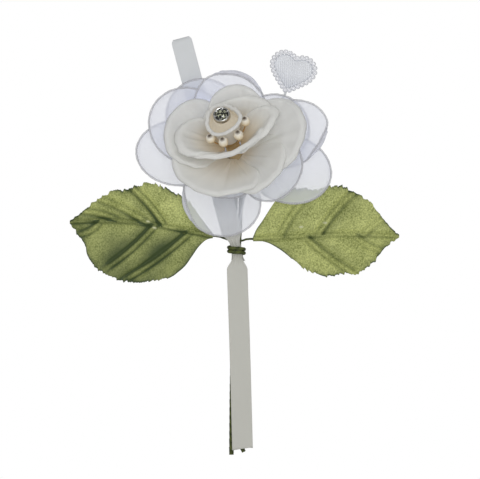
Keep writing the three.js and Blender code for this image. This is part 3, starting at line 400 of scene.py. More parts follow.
foam = Finish("core_thread", Roughness=0.85, Specular_IOR_Level=0.15)
wound = (foam.uv("Y") * (WAVE_PER_MM / 0.9) + foam.uv("X") * FULL_TURN).sine()
foam.set(Base_Color=foam.mottled(300.0, 4.0, "a98a5c", "d8c49a"))
foam.bump(wound + foam.noise(900.0, 3.0), 0.0002, 0.6)
print("hard finishes ready")

# %% [markdown]
# ## Making thin things
# Cloth, tape and wire are all sheets or skins that follow a shape. A grid is added, and each of its points
# is moved to where it lies, as a sculptor would pull it, but by a rule. The grid's own map is kept in
# centimetres of flat cloth, so that a weave runs true. A skin that closes on itself has its seam and its
# ends merged.

# %% Helpers for grids
def deselect():
    bpy.ops.object.select_all(action="DESELECT")


def select_only(*pieces):
    """Selects these pieces alone, with the first of them active."""
    deselect()
    for piece in pieces:
        piece.select_set(True)
    bpy.context.view_layer.objects.active = pieces[0]


def edit_whole(*steps):
    """Runs the steps in edit mode on all of the active piece."""
    bpy.ops.object.mode_set(mode="EDIT")
    bpy.ops.mesh.select_all(action="SELECT")
    for step in steps:
        step()
    bpy.ops.object.mode_set(mode="OBJECT")


def merge_points():
    bpy.ops.mesh.remove_doubles(threshold=1e-6)


def face_outwards():
    bpy.ops.mesh.normals_make_consistent(inside=False)


def ease(share):
    """Turns an even rise from 0 to 1 into one that starts and ends softly."""
    return share * share * (3 - 2 * share)


def sculpted(name, columns, rows, place, flat=None, closed=False, marks=None):
    """A grid whose point (u, v), each from 0 to 1, goes to place(u, v) in millimetres. flat is the cloth's
    size in centimetres, and each mark is a rule that gives every point a number from 0 to 1."""
    deselect()
    bpy.ops.mesh.primitive_grid_add(x_subdivisions=columns, y_subdivisions=rows, size=2, calc_uvs=True)
    piece = bpy.context.active_object
    piece.name = name
    mesh = piece.data
    mesh.name = name
    points = np.array([v.co[:2] for v in mesh.vertices])
    u, v = (points[:, 0] + 1) / 2, (points[:, 1] + 1) / 2
    mesh.vertices.foreach_set("co", (place(u, v) * MM).ravel())
    if flat is not None:
        layer = mesh.uv_layers.active.data
        old = np.empty(len(layer) * 2)
        layer.foreach_get("uv", old)
        layer.foreach_set("uv", (old.reshape(-1, 2) * flat).ravel())
    for mark, rule in (marks or {}).items():
        numbers = mesh.attributes.new(mark, "FLOAT", "POINT")
        numbers.data.foreach_set("value", np.clip(rule(u, v), 0, 1).astype(np.float32))
    mesh.update()
    if closed:
        edit_whole(merge_points, face_outwards)
    bpy.ops.object.shade_smooth()
    return piece


def thicken(piece, thickness):
    """Gives a sheet its two faces and its cut edge."""
    bpy.context.view_layer.objects.active = piece
    wall = piece.modifiers.new("thickness", "SOLIDIFY")
    wall.thickness = thickness * MM
    wall.offset = 0
    wall.use_even_offset = False
    bpy.ops.object.modifier_apply(modifier=wall.name)
    return piece


def finished(piece, finish, slot, body, *replaced):
    """Gives a piece its finish and the body it moves with, and hides the nodes that it stands for. slot is not
    used.
    """
    piece.data.materials.clear()
    piece.data.materials.append(finish.material)
    if body:
        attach(piece, body)
    if replaced:
        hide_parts(*replaced)
    return piece


# %% Helpers for paths
def smooth_path(points, step):
    """A smooth curve through the points, as points about one step apart along it."""
    p = np.array(points, float)
    p = np.vstack([2 * p[0] - p[1], p, 2 * p[-1] - p[-2]])
    knot = np.concatenate([[0], np.cumsum(np.linalg.norm(np.diff(p, axis=0), axis=1) ** 0.5)])
    dense = []
    for i in range(1, len(p) - 2):
        k0, k1, k2, k3 = knot[i - 1:i + 3]
        t = np.linspace(k1, k2, 30, endpoint=False)[:, None]
        a = ((k1 - t) * p[i - 1] + (t - k0) * p[i]) / (k1 - k0)
        b = ((k2 - t) * p[i] + (t - k1) * p[i + 1]) / (k2 - k1)
        c = ((k3 - t) * p[i + 1] + (t - k2) * p[i + 2]) / (k3 - k2)
        d = ((k2 - t) * a + (t - k0) * b) / (k2 - k0)
        e = ((k3 - t) * b + (t - k1) * c) / (k3 - k1)
        dense.append(((k2 - t) * d + (t - k1) * e) / (k2 - k1))
    dense = np.vstack(dense + [p[-2:-1]])
    run = np.concatenate([[0], np.cumsum(np.linalg.norm(np.diff(dense, axis=0), axis=1))])
    even = np.linspace(0, run[-1], max(3, round(run[-1] / step)) + 1)
    return np.stack([np.interp(even, run, dense[:, k]) for k in range(3)], -1)


def unit(vectors):
    return vectors / np.linalg.norm(vectors, axis=-1, keepdims=True)


def path_frames(path):
    """Two directions square to the path at each of its points, carried along without twisting."""
    ahead = unit(np.gradient(path, axis=0))
    start = np.array([0.0, 1.0, 0.0]) if abs(ahead[0][1]) < 0.9 else np.array([1.0, 0.0, 0.0])
    sides = [unit(np.cross(ahead[0], start))]
    for along in ahead[1:]:
        carried = sides[-1] - along * (sides[-1] @ along)
        sides.append(unit(carried))
    sides = np.array(sides)
    return sides, np.cross(ahead, sides)


def skin(name, path, radius, around=14, ridge=None):
    """A round skin along a path, closed at both ends. radius may be a rule of the share along it."""
    path = np.vstack([path[:1], path, path[-1:]])
    side, other = path_frames(path[1:-1])
    side = np.vstack([side[:1], side, side[-1:]])
    other = np.vstack([other[:1], other, other[-1:]])
    rows = len(path) - 1
    length = np.linalg.norm(np.diff(path, axis=0), axis=1).sum()

    def place(u, v):
        row = np.rint(v * rows).astype(int)
        share = np.clip((row - 1) / (rows - 2), 0, 1)
        angle = 2 * math.pi * (np.rint(u * around) % around) / around
        size = radius(share) if callable(radius) else np.full(len(u), float(radius))
        if ridge is not None:
            size = size + ridge(angle, share * length)
        size = np.where((row == 0) | (row == rows), 0.0, size)
        outwards = np.cos(angle)[:, None] * side[row] + np.sin(angle)[:, None] * other[row]
        return path[row] + size[:, None] * outwards

    return sculpted(name, around, rows, place, flat=(1.0, length / 10), closed=True)


print("helpers ready")

# %% [markdown]
# ## The rose's petals
# Each petal is cut flat with a narrow root, then pressed over a warm ball and glued round the core, so it
# lies on a shallow bowl. The bowls of one whorl share one shape. A petal spirals across its bowl, so that it
# lies over one neighbour and under the other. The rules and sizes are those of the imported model. ROOT is the
# radius where petals start, ARC the length over which a bowl's slope changes, and SPIRAL its rise a degree.

# %% Where the cloth of a petal lies
ROSE = (-1.0, -10.3, -6.0)
TOWARDS_TURN = math.radians(110)
TOWARDS = (math.cos(TOWARDS_TURN), math.sin(TOWARDS_TURN))
ROOT = 4.6
ROOT_HALF = 3.2
ARC = 40.0
SPIRAL = 0.02
OVAL_FROM, OVAL_OVER = ROOT, 14


def from_rose(right, up, forward, tilt):
    """A point in the rose's own frame, tipped back by tilt degrees, in millimetres of the whole object."""
    tip = math.radians(tilt)
    along = right * TOWARDS[0] + up * TOWARDS[1]
    shift = along * (math.cos(tip) - 1) + forward * math.sin(tip)
    raised = forward * math.cos(tip) - along * math.sin(tip)
    x = ROSE[0] + right + shift * TOWARDS[0]
    z = ROSE[2] + up + shift * TOWARDS[1]
    return np.stack([x, ROSE[1] - raised, z], -1)


def pressed_oval(right, up, oval):
    """Presses a round whorl to an oval: wider across the flower, narrower along the way it looks."""
    share = ease(np.clip((np.hypot(right, up) - OVAL_FROM) / OVAL_OVER, 0, 1))
    along = right * TOWARDS[0] + up * TOWARDS[1]
    across = right * TOWARDS[1] - up * TOWARDS[0]
    across = across * (1 + (oval[0] - 1) * share)
    along = along * (1 + (oval[1] - 1) * share)
    return across * TOWARDS[1] + along * TOWARDS[0], along * TOWARDS[1] - across * TOWARDS[0]


def on_bowl(whorl, petal, s, w, lift):
    """Where the flat cloth's point (s along, w across) lies, raised towards the flower's inside by lift."""
    start = math.radians(whorl["rise"][0] + petal.get("lift", 0))
    bend = math.radians(whorl["rise"][1] - whorl["rise"][0]) / ARC
    flat = np.hypot(s + ROOT, w)
    rise = start + bend * (flat - ROOT)
    out = ROOT + (np.sin(rise) - math.sin(start)) / bend
    high = whorl["height"] - (np.cos(rise) - math.cos(start)) / bend
    turn = np.arctan2(w, s + ROOT) * (flat / np.maximum(out, ROOT * 0.7)) ** 0.8
    offset = SPIRAL * np.degrees(turn) + lift
    angle = math.radians(petal["at"]) + turn
    r = out - offset * np.sin(rise)
    right, up = pressed_oval(r * np.cos(angle), r * np.sin(angle), whorl.get("oval", (1, 1)))
    return from_rose(right, up, high + offset * np.cos(rise), whorl["tilt"])


# %% [markdown]
# ## How the cloth moves at the rim
# Pressed cloth keeps soft pleats that start at the root and open towards the rim, and its rim rolls back
# where it was pinched over a warm rod. A petal is therefore the flat cut, plus pleats and waves that grow
# outwards, plus a roll over its last few millimetres. The waves come from a seeded list, one per petal.

# %% A petal as one sheet
RIM_TURN = math.radians(125)
PETAL_COLUMNS, PETAL_ROWS = 64, 44
CREASES = 7
MOST_ROLL = 2.6


def no_mark(u, v):
    return 0 * u


def fold_depth(fold, turn):
    """How far the rim is folded back at a turn across the petal. fold is (middle, spread, depth in mm)."""
    middle, spread, depth = fold
    return depth * np.exp(-((turn - middle) / spread) ** 4)


def petal_sheet(name, whorl, petal, seed, thickness, wave, pleat, roll, grow=0.0, fold=None, amber=None):
    """One petal. wave and pleat are heights in mm, roll is (radius, share of the length that rolls)."""
    dice = np.random.default_rng(seed)
    length = petal["reach"] - ROOT + grow
    half = petal["half"] + grow
    phase = dice.uniform(0, 6.28, 4)
    creases = [(dice.uniform(-1.6, 1.6), dice.uniform(0.05, 0.13), dice.uniform(-1, 1)) for _ in range(CREASES)]

    def cloth(u, v):
        turn = (2 * u - 1) * RIM_TURN
        rim_s = length * (0.52 + 0.48 * np.cos(turn))
        rim_w = half * np.sin(turn)
        root_w = (2 * u - 1) * ROOT_HALF
        ray = np.hypot(rim_s, rim_w - root_w)
        share = v.copy()
        lift = wave * v ** 2.2 * (np.sin(2.6 * turn + phase[0]) + 0.45 * np.sin(5.7 * turn + phase[1]))
        lift += 0.25 * wave * v ** 3 * np.sin(13 * turn + phase[2])
        pleat_height = pleat * np.sin(math.pi * np.clip(v * 1.15, 0, 1)) ** 0.8
        for place, width, height in creases:
            lift += pleat_height * height * np.exp(-((turn - place * 1.1) / width) ** 2)
        if roll:
            radius, part = roll
            run = np.clip(v - (1 - part), 0, None) * ray
            bent = np.minimum(run / radius, MOST_ROLL)
            share = np.where(run > 0, (1 - part) + radius * np.sin(bent) / ray, v)
            lift = lift - radius * (1 - np.cos(bent))
        if fold:
            deep = fold_depth(fold, turn)
            inwards = (1 - v) * ray
            over = np.clip(deep - inwards, 0, None)
            share = share + (deep - 2 * over) / ray
            lift = lift + 0.5 * np.clip(over / 0.6, 0, 1)
        s = share * rim_s
        w = root_w + share * (rim_w - root_w)
        return on_bowl(whorl, petal, s, w, lift)

    def doubled(u, v):
        if not fold:
            return 0.5 * np.clip((v - 0.93) / 0.07, 0, 1) ** 2
        deep = fold_depth(fold, (2 * u - 1) * RIM_TURN)
        return np.clip((deep - (1 - v) * length * 0.9) / 0.6, 0, 1) * 0.8

    marks = {"doubled": doubled, "amber": amber or no_mark}
    piece = sculpted(name, PETAL_COLUMNS, PETAL_ROWS, cloth, flat=(2 * half / 10, length / 10), marks=marks)
    thicken(piece, thickness)
    return piece, cloth


PETAL_FILL = 0.76


def declare_petal(petal):
    """Works out the area of the petal's flat cut, whose rounded outline takes up PETAL_FILL of the cloth's
    width by length, and keeps it nowhere.
    """
    wide = 2 * petal["half"] * MM
    long = (petal["reach"] - ROOT) * MM
    PETAL_FILL * wide * long


# %% Sheer petals and their hems
BACK = {"tilt": 0, "height": 0, "rise": (2, 9), "petals": [
    {"at": 34, "reach": 38.5, "half": 16}, {"at": 130, "reach": 42, "half": 17},
    {"at": 178, "reach": 47.5, "half": 15}, {"at": 252, "reach": 39.5, "half": 18.5},
    {"at": 345, "reach": 46.5, "half": 15.5}]}
FRONT = {"tilt": 6, "height": 2.2, "rise": (11, 19), "petals": [
    {"at": 20, "reach": 47.5, "half": 15}, {"at": 97, "reach": 40.8, "half": 16.5},
    {"at": 150, "reach": 46, "half": 17.5}, {"at": 244, "reach": 28, "half": 15, "lift": 24},
    {"at": 336, "reach": 38, "half": 16, "lift": 16}]}
FOLDS = {("front", 1): (-0.5, 0.8, 2.3), ("front", 0): (-0.75, 0.45, 2.5), ("back", 3): (-1.0, 0.5, 2.0)}
SHEER_THICK = 0.14
HEM_RADIUS = 0.5
HEM_GROW = 0.75
FIRST_SEEDS = {"back": 11, "front": 31, "outer": 61, "inner": 81}


def hem_ridge(angle, along):
    """The lay of the thread round the wire, with slow thick and thin places."""
    return 0.05 * np.sin(3 * angle + along * 2.1) + 0.05 * np.sin(along * 0.9)


for label, whorl in (("back", BACK), ("front", FRONT)):
    for i, petal in enumerate(whorl["petals"]):
        piece, cloth = petal_sheet(f"organza_{label}_petal_{i + 1}", whorl, petal, FIRST_SEEDS[label] + i,
                                   SHEER_THICK, wave=0.35, pleat=0.25, roll=None, grow=HEM_GROW,
                                   fold=FOLDS.get((label, i)))
        finished(piece, organza, "organza", "spray", f"sheer_{label}_petal_{i + 1}")
        rim = cloth(np.linspace(0.02, 0.98, 90), np.ones(90))
        line = skin(f"organza_{label}_hem_{i + 1}", rim, HEM_RADIUS, 8, hem_ridge)
        finished(line, hem, "edge_thread", "spray", f"sheer_{label}_edge_wire_{i + 1}")
        declare_petal(petal)

# %% Chiffon petals
OUTER = {"tilt": 22, "height": 5.6, "rise": (37, 36), "petals": [
    {"at": 6, "reach": 46, "half": 19}, {"at": 82, "reach": 33.5, "half": 15},
    {"at": 168, "reach": 38.5, "half": 19}, {"at": 246, "reach": 37, "half": 24},
    {"at": 318, "reach": 38, "half": 18}]}
INNER = {"tilt": 30, "height": 11, "rise": (43, 62), "oval": (1.12, 0.66), "petals": [
    {"at": 353, "reach": 32, "half": 17.5}, {"at": 80, "reach": 31, "half": 17},
    {"at": 192, "reach": 32, "half": 18}, {"at": 288, "reach": 31, "half": 19}]}


def deep_painted_shade(strength, reach):
    """Painted warm shade that fades from the root outwards, over a share of the petal."""
    return lambda u, v: strength * np.clip(1 - v / reach, 0, 1) ** 1.3


CHIFFON_THICK = 0.22
# Painted warm shade near the roots, wider on the outer front petal.
PAINTED_SHADES = {"outer": deep_painted_shade(0.3, 0.4), "inner": deep_painted_shade(0.7, 0.75)}
WIDE_PAINTED_SHADE = deep_painted_shade(0.36, 0.95)
CHIFFON = (("outer", OUTER, 0.9, 0.8, (2.0, 0.1)), ("inner", INNER, 0.8, 1.3, (2.3, 0.17)))

for label, whorl, wave, pleat, roll in CHIFFON:
    for i, petal in enumerate(whorl["petals"]):
        painted_shade = WIDE_PAINTED_SHADE if (label, i) == ("outer", 3) else PAINTED_SHADES[label]
        piece, _ = petal_sheet(f"chiffon_cloth_{label}_{i + 1}", whorl, petal, FIRST_SEEDS[label] + i,
                               CHIFFON_THICK, wave, pleat, roll, amber=painted_shade)
        finished(piece, chiffon, "chiffon", "spray", f"chiffon_{label}_petal_{i + 1}")
        declare_petal(petal)

# %% [markdown]
# ## The flower's heart
# A strip of cloth is rolled to a cup round the rhinestone, with its rim turned over to a thick white lip.
# Stamens stand round it: a thread with a bell of dipped starch. The cup's skin is drawn out, over the lip
# and back in as one closed shape. The rhinestone and its silver cup are turned shapes, made on the bench
# upright and then leant over onto the core.

# %% Bud cup
CORE_TILT = 32
BUD_FOOT, BUD_RIM, BUD_BASE, BUD_TALL = 4.7, 7.2, 17.8, 16.0
LIP = 0.95
GEM_HEIGHT, GEM_ASIDE, CUP_CLEAR = 34.6, 2.1, 4.05


def bud_wall(turn, share):
    """The cup's radius and height. Its wall flares, and its mouth is a little three-cornered."""
    flare = (BUD_RIM - BUD_FOOT) * share ** 0.8 + 1.1 * share ** 6
    radius = BUD_FOOT + flare + 0.5 * share * np.cos(3 * turn + 0.6)
    high = BUD_BASE + share * (BUD_TALL + 1.1 * np.sin(2 * turn + 2.2))
    return radius, high


def bud_skin(u, v):
    """Up the outside, over the lip, down a little, across to the rhinestone's cup and back down beside it."""
    turn = 2 * math.pi * u
    share = np.interp(v, (0, 0.38, 0.5, 0.6, 0.72, 0.84, 1), (0, 0.97, 0.97, 0.84, 0.84, 0.3, 0))
    pull = np.interp(v, (0.6, 0.74, 0.84, 0.9), (0, 1, 1, 0))
    radius, high = bud_wall(turn, share)
    swing = np.clip((v - 0.38) / 0.12, 0, 1) * math.pi * 1.1
    on_lip = (v >= 0.38) & (v <= 0.5)
    side = np.where(v < 0.38, 0.3, -0.3)
    pucker = (0.14 * np.sin(17 * turn) + 0.1 * np.sin(9 * turn + 1)) * share ** 2
    radius = radius + np.where(on_lip, LIP * np.cos(swing), side) + pucker
    high = high + np.where(on_lip, LIP * np.sin(swing), 0) + 1.2 * pucker
    right, up = radius * np.cos(turn), radius * np.sin(turn)
    cup_high = np.interp(v, (0.6, 0.72, 0.78, 0.84), (31.5, GEM_HEIGHT - 0.9, GEM_HEIGHT - 2.5, 24))
    right = right + pull * (GEM_ASIDE * TOWARDS[0] + CUP_CLEAR * np.cos(turn) - right)
    up = up + pull * (GEM_ASIDE * TOWARDS[1] + CUP_CLEAR * np.sin(turn) - up)
    high = high + pull * (cup_high - high)
    return from_rose(right, up, high, CORE_TILT)


# Painted warm shade on the inside of the cup.
def bud_painted_shade(u, v):
    return 0.45 * np.clip((v - 0.5) / 0.1, 0, 1)


bud = sculpted("bud_cup_cloth", 96, 60, bud_skin, flat=(4.2, 3.4), closed=True,
               marks={"amber": bud_painted_shade, "doubled": no_mark})
finished(bud, chiffon, "chiffon", "spray", "bud_cup")

# %% Stamens
STAMEN_TURNS = (-134, -92, -44, 8)
BELL = 2.35
STAMEN_THREAD = 0.35
BELL_FROM = 0.58


def bell(share):
    """A thread that swells to a bell over the last part of its length."""
    rise = np.clip((share - BELL_FROM) / (1 - BELL_FROM), 0, 1)
    flare = BELL * np.sin(math.pi * np.minimum(1, 0.08 + rise * 0.88)) ** 0.65
    return np.where(share < BELL_FROM, STAMEN_THREAD, np.maximum(STAMEN_THREAD, flare))


def bell_ridge(angle, along):
    return 0.06 * np.cos(6 * angle) * (along > 8)


for i, degrees in enumerate(STAMEN_TURNS):
    turn = math.radians(degrees)
    top = 31.5 - 0.9 * math.cos(1.7 * i)
    stops = [(6.3, 18.2), (7.5, 20.5), (9.4, 25.5), (9.9, top)]
    places = [from_rose(r * math.cos(turn), r * math.sin(turn), forward, CORE_TILT) for r, forward in stops]
    stamen = skin(f"stamen_bead_{i + 1}", smooth_path(places, 0.25), bell, 24, bell_ridge)
    layer = stamen.data.uv_layers.active.data
    reach = max(loop.uv[1] for loop in layer)
    for loop in layer:
        loop.uv[1] /= reach
    finished(stamen, cream_bead, "cream_bead", "spray", f"stamen_{i + 1}")
print("stamens", len(STAMEN_TURNS))

# %% Turned shapes
def turned(name, profile, sides, smooth=False):
    """A solid of revolution, built up from a filled ring by extruding and resizing it, along +Z."""
    deselect()
    radius, height = profile[0]
    bpy.ops.mesh.primitive_circle_add(vertices=sides, radius=radius * MM, fill_type="NGON",
                                      location=(0, 0, height * MM))
    piece = bpy.context.active_object
    piece.name = name
    bpy.ops.object.transform_apply(location=True, rotation=True, scale=True)
    bpy.ops.object.mode_set(mode="EDIT")
    for (before, low), (after, high) in zip(profile, profile[1:]):
        bpy.ops.mesh.extrude_region_move(TRANSFORM_OT_translate={"value": (0, 0, (high - low) * MM)})
        bpy.ops.transform.resize(value=(after / before, after / before, 1))
    bpy.ops.object.mode_set(mode="OBJECT")
    edit_whole(face_outwards)
    if smooth:
        bpy.ops.object.shade_smooth_by_angle(angle=math.radians(35))
    return piece


def lean_onto_core(piece):
    """Moves a shape made along +Z onto the rose's tilted core."""
    aside = (GEM_ASIDE * TOWARDS[0], GEM_ASIDE * TOWARDS[1])
    foot = Vector(from_rose(*aside, 0.0, CORE_TILT) * MM)
    ahead = Vector(from_rose(*aside, 1.0, CORE_TILT) * MM) - foot
    lean = Vector((0, 0, 1)).rotation_difference(ahead).to_matrix().to_4x4()
    piece.matrix_world = Matrix.Translation(foot) @ lean
    select_only(piece)
    bpy.ops.object.transform_apply(location=True, rotation=True, scale=True)
    return piece


def at_gem(*profile):
    """The profile with its heights counted from the rhinestone's widest line."""
    return [(radius, GEM_HEIGHT + above) for radius, above in profile]


gem_profile = at_gem((0.3, -2.2), (3.0, -0.15), (3.0, 0.15), (2.3, 0.95), (1.6, 1.3))
gem = turned("rhinestone_cut", gem_profile, 12)
finished(lean_onto_core(gem), crystal, "crystal", "spray", "rhinestone")

CUP_FOOT = (1.2, 19.6)
cup_profile = at_gem((1.2, -3.2), (3.9, -0.9), (3.95, 0.3), (3.6, 0.45), (3.3, 0.3), (3.3, -0.8), (0.8, -2.6))
cup = turned("rhinestone_cup", [CUP_FOOT] + cup_profile, 32, smooth=True)
PRONGS, PRONG_OUT, PRONG_SIZE = 6, 3.15, (1.5, 0.8, 0.9)
prongs = []
for k in range(PRONGS):
    deselect()
    turn = math.radians(360 / PRONGS * k + 15)
    out = PRONG_OUT * MM
    place = (out * math.cos(turn), out * math.sin(turn), (GEM_HEIGHT + 0.55) * MM)
    bpy.ops.mesh.primitive_cube_add(size=1, location=place, rotation=(0, math.radians(-20), turn),
                                    scale=[side * MM for side in PRONG_SIZE])
    prongs.append(bpy.context.active_object)
    edit_whole(lambda: bpy.ops.mesh.bevel(offset=0.25 * MM, segments=3, affect="EDGES"))
    bpy.ops.object.shade_smooth()
select_only(cup, *prongs)
bpy.ops.object.join()
finished(lean_onto_core(cup), silver, "silver_cup", "spray", "rhinestone_setting")
print("rhinestone set")

# %% Core and calyx
CORE_STOPS = ((-0.5, 0), (2.2, 6), (5.6, 22), (11, 30), (19, CORE_TILT))
core_line = smooth_path([from_rose(0.0, 0.0, forward, tilt) for forward, tilt in CORE_STOPS], 0.4)


def core_ridge(angle, along):
    return 0.12 * np.sin(along * 7 + angle)


core = skin("wound_core", core_line, 3.4, 32, core_ridge)
finished(core, foam, "foam", "spray", "rose_core")

calyx_low, calyx_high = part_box("calyx")
print("calyx", calyx_low, calyx_high)
calyx_profile = [(3.0, 0.0), (4.4, 0.5), (5.3, 2.0), (5.5, 3.4), (5.2, 4.4), (3.5, 4.65)]
calyx = turned("calyx_cup", calyx_profile, 40, smooth=True)
for vertex in calyx.data.vertices:
    x, y, z = vertex.co
    fluting = 1 + 0.05 * math.cos(5 * math.atan2(y, x))
    vertex.co = (ROSE[0] * MM + x * fluting, calyx_high.y - z, ROSE[2] * MM + y * fluting)
select_only(calyx)
edit_whole(face_outwards)
finished(calyx, tape, "stem_tape", "spray", "calyx")

# %% [markdown]
# ## Stems, wires and binding
# Each stem is a wire wound with tape at a slant, so its skin has a low spiral ridge. The leaves' and the
# heart's wires are thinner and taped too. One soft wire is wound twice round everything and hides its end.

# %% Stems
STEM_Y, STEM_SIDE = -4.1, 1.2
BIND_X, BIND_Z = -0.7, -52.0
WIRE_Y = -2.15


def tape_ridge(height, pitch):
    """Overlapping turns of tape: a slow rise and a quick step once per turn."""
    def ridge(angle, along):
        turns = (along / pitch + angle / (2 * math.pi)) % 1
        return height * (turns - 0.5)
    return ridge


def taped(name, line, radius, around, ridge, finish, slot, body, node):
    """A wire along a line, wound with tape. ridge is the tape's (height, pitch)."""
    finished(skin(name, line, radius, around, tape_ridge(*ridge)), finish, slot, body, node)


rose_stem = smooth_path([
    (-3.2, STEM_Y, -151), (-3.0, STEM_Y, -125), (-2.4, STEM_Y, -90), (BIND_X - STEM_SIDE, STEM_Y, BIND_Z),
    (BIND_X - STEM_SIDE + 0.3, STEM_Y, BIND_Z + 12), (-1, STEM_Y, -18), (-1, STEM_Y - 0.1, -11),
    (-1, STEM_Y - 1.2, -7)], 0.5)
leaf_stem = smooth_path([
    (2.8, STEM_Y + 0.4, -149.6), (1.4, STEM_Y + 0.2, -146.4), (0.4, STEM_Y, -138), (-0.1, STEM_Y, -118),
    (0.5, STEM_Y, -88), (BIND_X + STEM_SIDE, STEM_Y, BIND_Z), (BIND_X + STEM_SIDE + 0.5, STEM_Y, BIND_Z + 12),
    (1.5, STEM_Y, -22)], 0.5)
taped("rose_stem_taped", rose_stem, 1.1, 20, (0.14, 3.8), tape, "stem_tape", "spray", "rose_stem")
taped("leaf_stem_taped", leaf_stem, 1.0, 20, (0.12, 3.4), tape, "stem_tape", "spray", "leaf_stem")

HEART_AT = (26.0, STEM_Y - 1.2, 33.8)
HEART_LEAN = math.radians(-18)


def from_heart(x, y, depth):
    """A point in the heart's own frame (right, up, back) in millimetres of the whole object."""
    x, y, depth = np.broadcast_arrays(*(np.asarray(c, float) for c in (x, y, depth)))
    right = x * math.cos(HEART_LEAN) - y * math.sin(HEART_LEAN)
    up = x * math.sin(HEART_LEAN) + y * math.cos(HEART_LEAN)
    return np.stack([HEART_AT[0] + right, HEART_AT[1] + depth, HEART_AT[2] + up], -1)


heart_line = smooth_path([
    (BIND_X + 0.05, -5.7, BIND_Z + 0.1), (BIND_X + 0.05, -5.7, BIND_Z + 6), (1.0, -6.05, BIND_Z + 15),
    (2.6, -6.0, -28), (5.6, STEM_Y - 1.3, -19), (9.5, STEM_Y - 0.7, -8), (15.4, STEM_Y - 0.6, 8),
    (18.4, STEM_Y - 0.8, 18), tuple(from_heart(0, -11.5, 0)), tuple(from_heart(0, -8.6, 0))], 0.5)
taped("heart_stem_taped", heart_line, 0.55, 14, (0.1, 2.6), white_tape, "white_tape", "heart_pick",
      "heart_stem")
print("stems and heart wire", len(rose_stem), len(leaf_stem), len(heart_line))

# %% Binding wire
BIND_RADIUS, BIND_PITCH = 0.85, 1.82
bind_low, bind_high = (np.array(corner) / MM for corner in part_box("bind_wire"))
turns = np.linspace(0, 4 * math.pi, 120)


def squared(a):
    """A sine or cosine with flatter tops, which turns a ring into a rounded square."""
    return np.sign(a) * np.abs(a) ** 0.62


centre = (bind_low + bind_high) / 2
reach = (bind_high - bind_low) / 2 - BIND_RADIUS
bind_x = centre[0] + reach[0] * squared(np.sin(turns))
bind_y = centre[1] + reach[1] * squared(np.cos(turns))
bind_z = BIND_Z + BIND_PITCH * (turns / (2 * math.pi) - 1)
bind_line = smooth_path(np.stack([bind_x, bind_y, bind_z], -1)[::3], 0.35)
taped("bind_wire_taped", bind_line, BIND_RADIUS, 14, (0.1, 2.2), tape, "stem_tape", "spray", "bind_wire")

# %% [markdown]
# ## The ribbon
# One strip of satin ribbon: its cut tail hangs in front of the stems, it is pinched under the binding, runs
# up to a soft fold, and comes back down behind itself. It is a grid along that path, with faint lengthwise
# ripples below the pinch.

# %% Ribbon
RIBBON_BACK, RIBBON_FRONT = -6.9, -8.5
RIBBON_HALF, PINCHED_HALF = 5.0, 2.3
LOOP_LEAN, TAIL_LEAN = 14.7, 1.7
LOOP_TOP = 50.5
loop_top_x = BIND_X - math.tan(math.radians(LOOP_LEAN)) * (LOOP_TOP - BIND_Z)


def up_loop(share, y):
    return (BIND_X + (loop_top_x - BIND_X) * share, y, BIND_Z + (LOOP_TOP - BIND_Z) * share)


TAIL_STOPS = [(2.2, RIBBON_FRONT + 0.8, -148), (1.6, RIBBON_FRONT + 0.4, -125), (0.6, RIBBON_FRONT + 0.2, -90),
              (-0.3, RIBBON_FRONT, -64), (BIND_X, RIBBON_FRONT, BIND_Z)]
LOOP_STOPS = [(0.12, RIBBON_FRONT), (0.4, RIBBON_FRONT), (0.7, RIBBON_FRONT), (0.93, RIBBON_FRONT - 0.35),
              (0.985, RIBBON_FRONT - 0.1), (1, (RIBBON_FRONT + RIBBON_BACK) / 2), (0.985, RIBBON_BACK + 0.1),
              (0.93, RIBBON_BACK + 0.35), (0.7, RIBBON_BACK), (0.4, RIBBON_BACK), (0.12, RIBBON_BACK),
              (-0.05, RIBBON_BACK)]
ribbon_line = smooth_path(TAIL_STOPS + [up_loop(share, y) for share, y in LOOP_STOPS], 0.7)
RIBBON_ROWS = len(ribbon_line) - 1
RIBBON_LENGTH = np.linalg.norm(np.diff(ribbon_line, axis=0), axis=1).sum()


def ribbon_place(u, v):
    at = ribbon_line[np.rint(v * RIBBON_ROWS).astype(int)]
    z = at[:, 2]
    rise = ease(np.clip((z - (BIND_Z - 12)) / 24, 0, 1))
    turn = np.radians(-TAIL_LEAN + (LOOP_LEAN + TAIL_LEAN) * rise)
    open_share = ease(np.clip((np.abs(z - BIND_Z) - 3.4) / 6, 0, 1))
    half = PINCHED_HALF + (RIBBON_HALF - PINCHED_HALF) * open_share
    half = half * (1 - 0.2 * np.exp(-((LOOP_TOP - z) / 0.9) ** 2))
    across = 2 * u - 1
    pleats = (1 - open_share) * 0.45 * np.cos(across * 3 * math.pi)
    ripple = 0.16 * np.sin(z * 0.13 + across * 2.0) * open_share + 0.1 * np.sin(z * 0.31 - across)
    cut = np.where(v < 0.5 / RIBBON_ROWS, 0.9 * across, 0.0)
    return np.stack([at[:, 0] + across * half * np.cos(turn), at[:, 1] + pleats * 0.6 + ripple * 0.6,
                     z + across * half * np.sin(turn) + cut], -1)


def tail_mark(u, v):
    """Grows down the ribbon, where its colour turns a little duller."""
    z = ribbon_line[np.rint(v * RIBBON_ROWS).astype(int)][:, 2]
    return 0.85 * np.clip((12 - z) / 50, 0, 1)


ribbon = sculpted("satin_ribbon", 28, RIBBON_ROWS, ribbon_place, flat=(1.0, RIBBON_LENGTH / 10),
                  marks={"tail": tail_mark})
thicken(ribbon, 0.3)
finished(ribbon, ribbon_satin, "ribbon_satin", "spray", "ribbon")
print("ribbon length", round(RIBBON_LENGTH, 1), "mm")

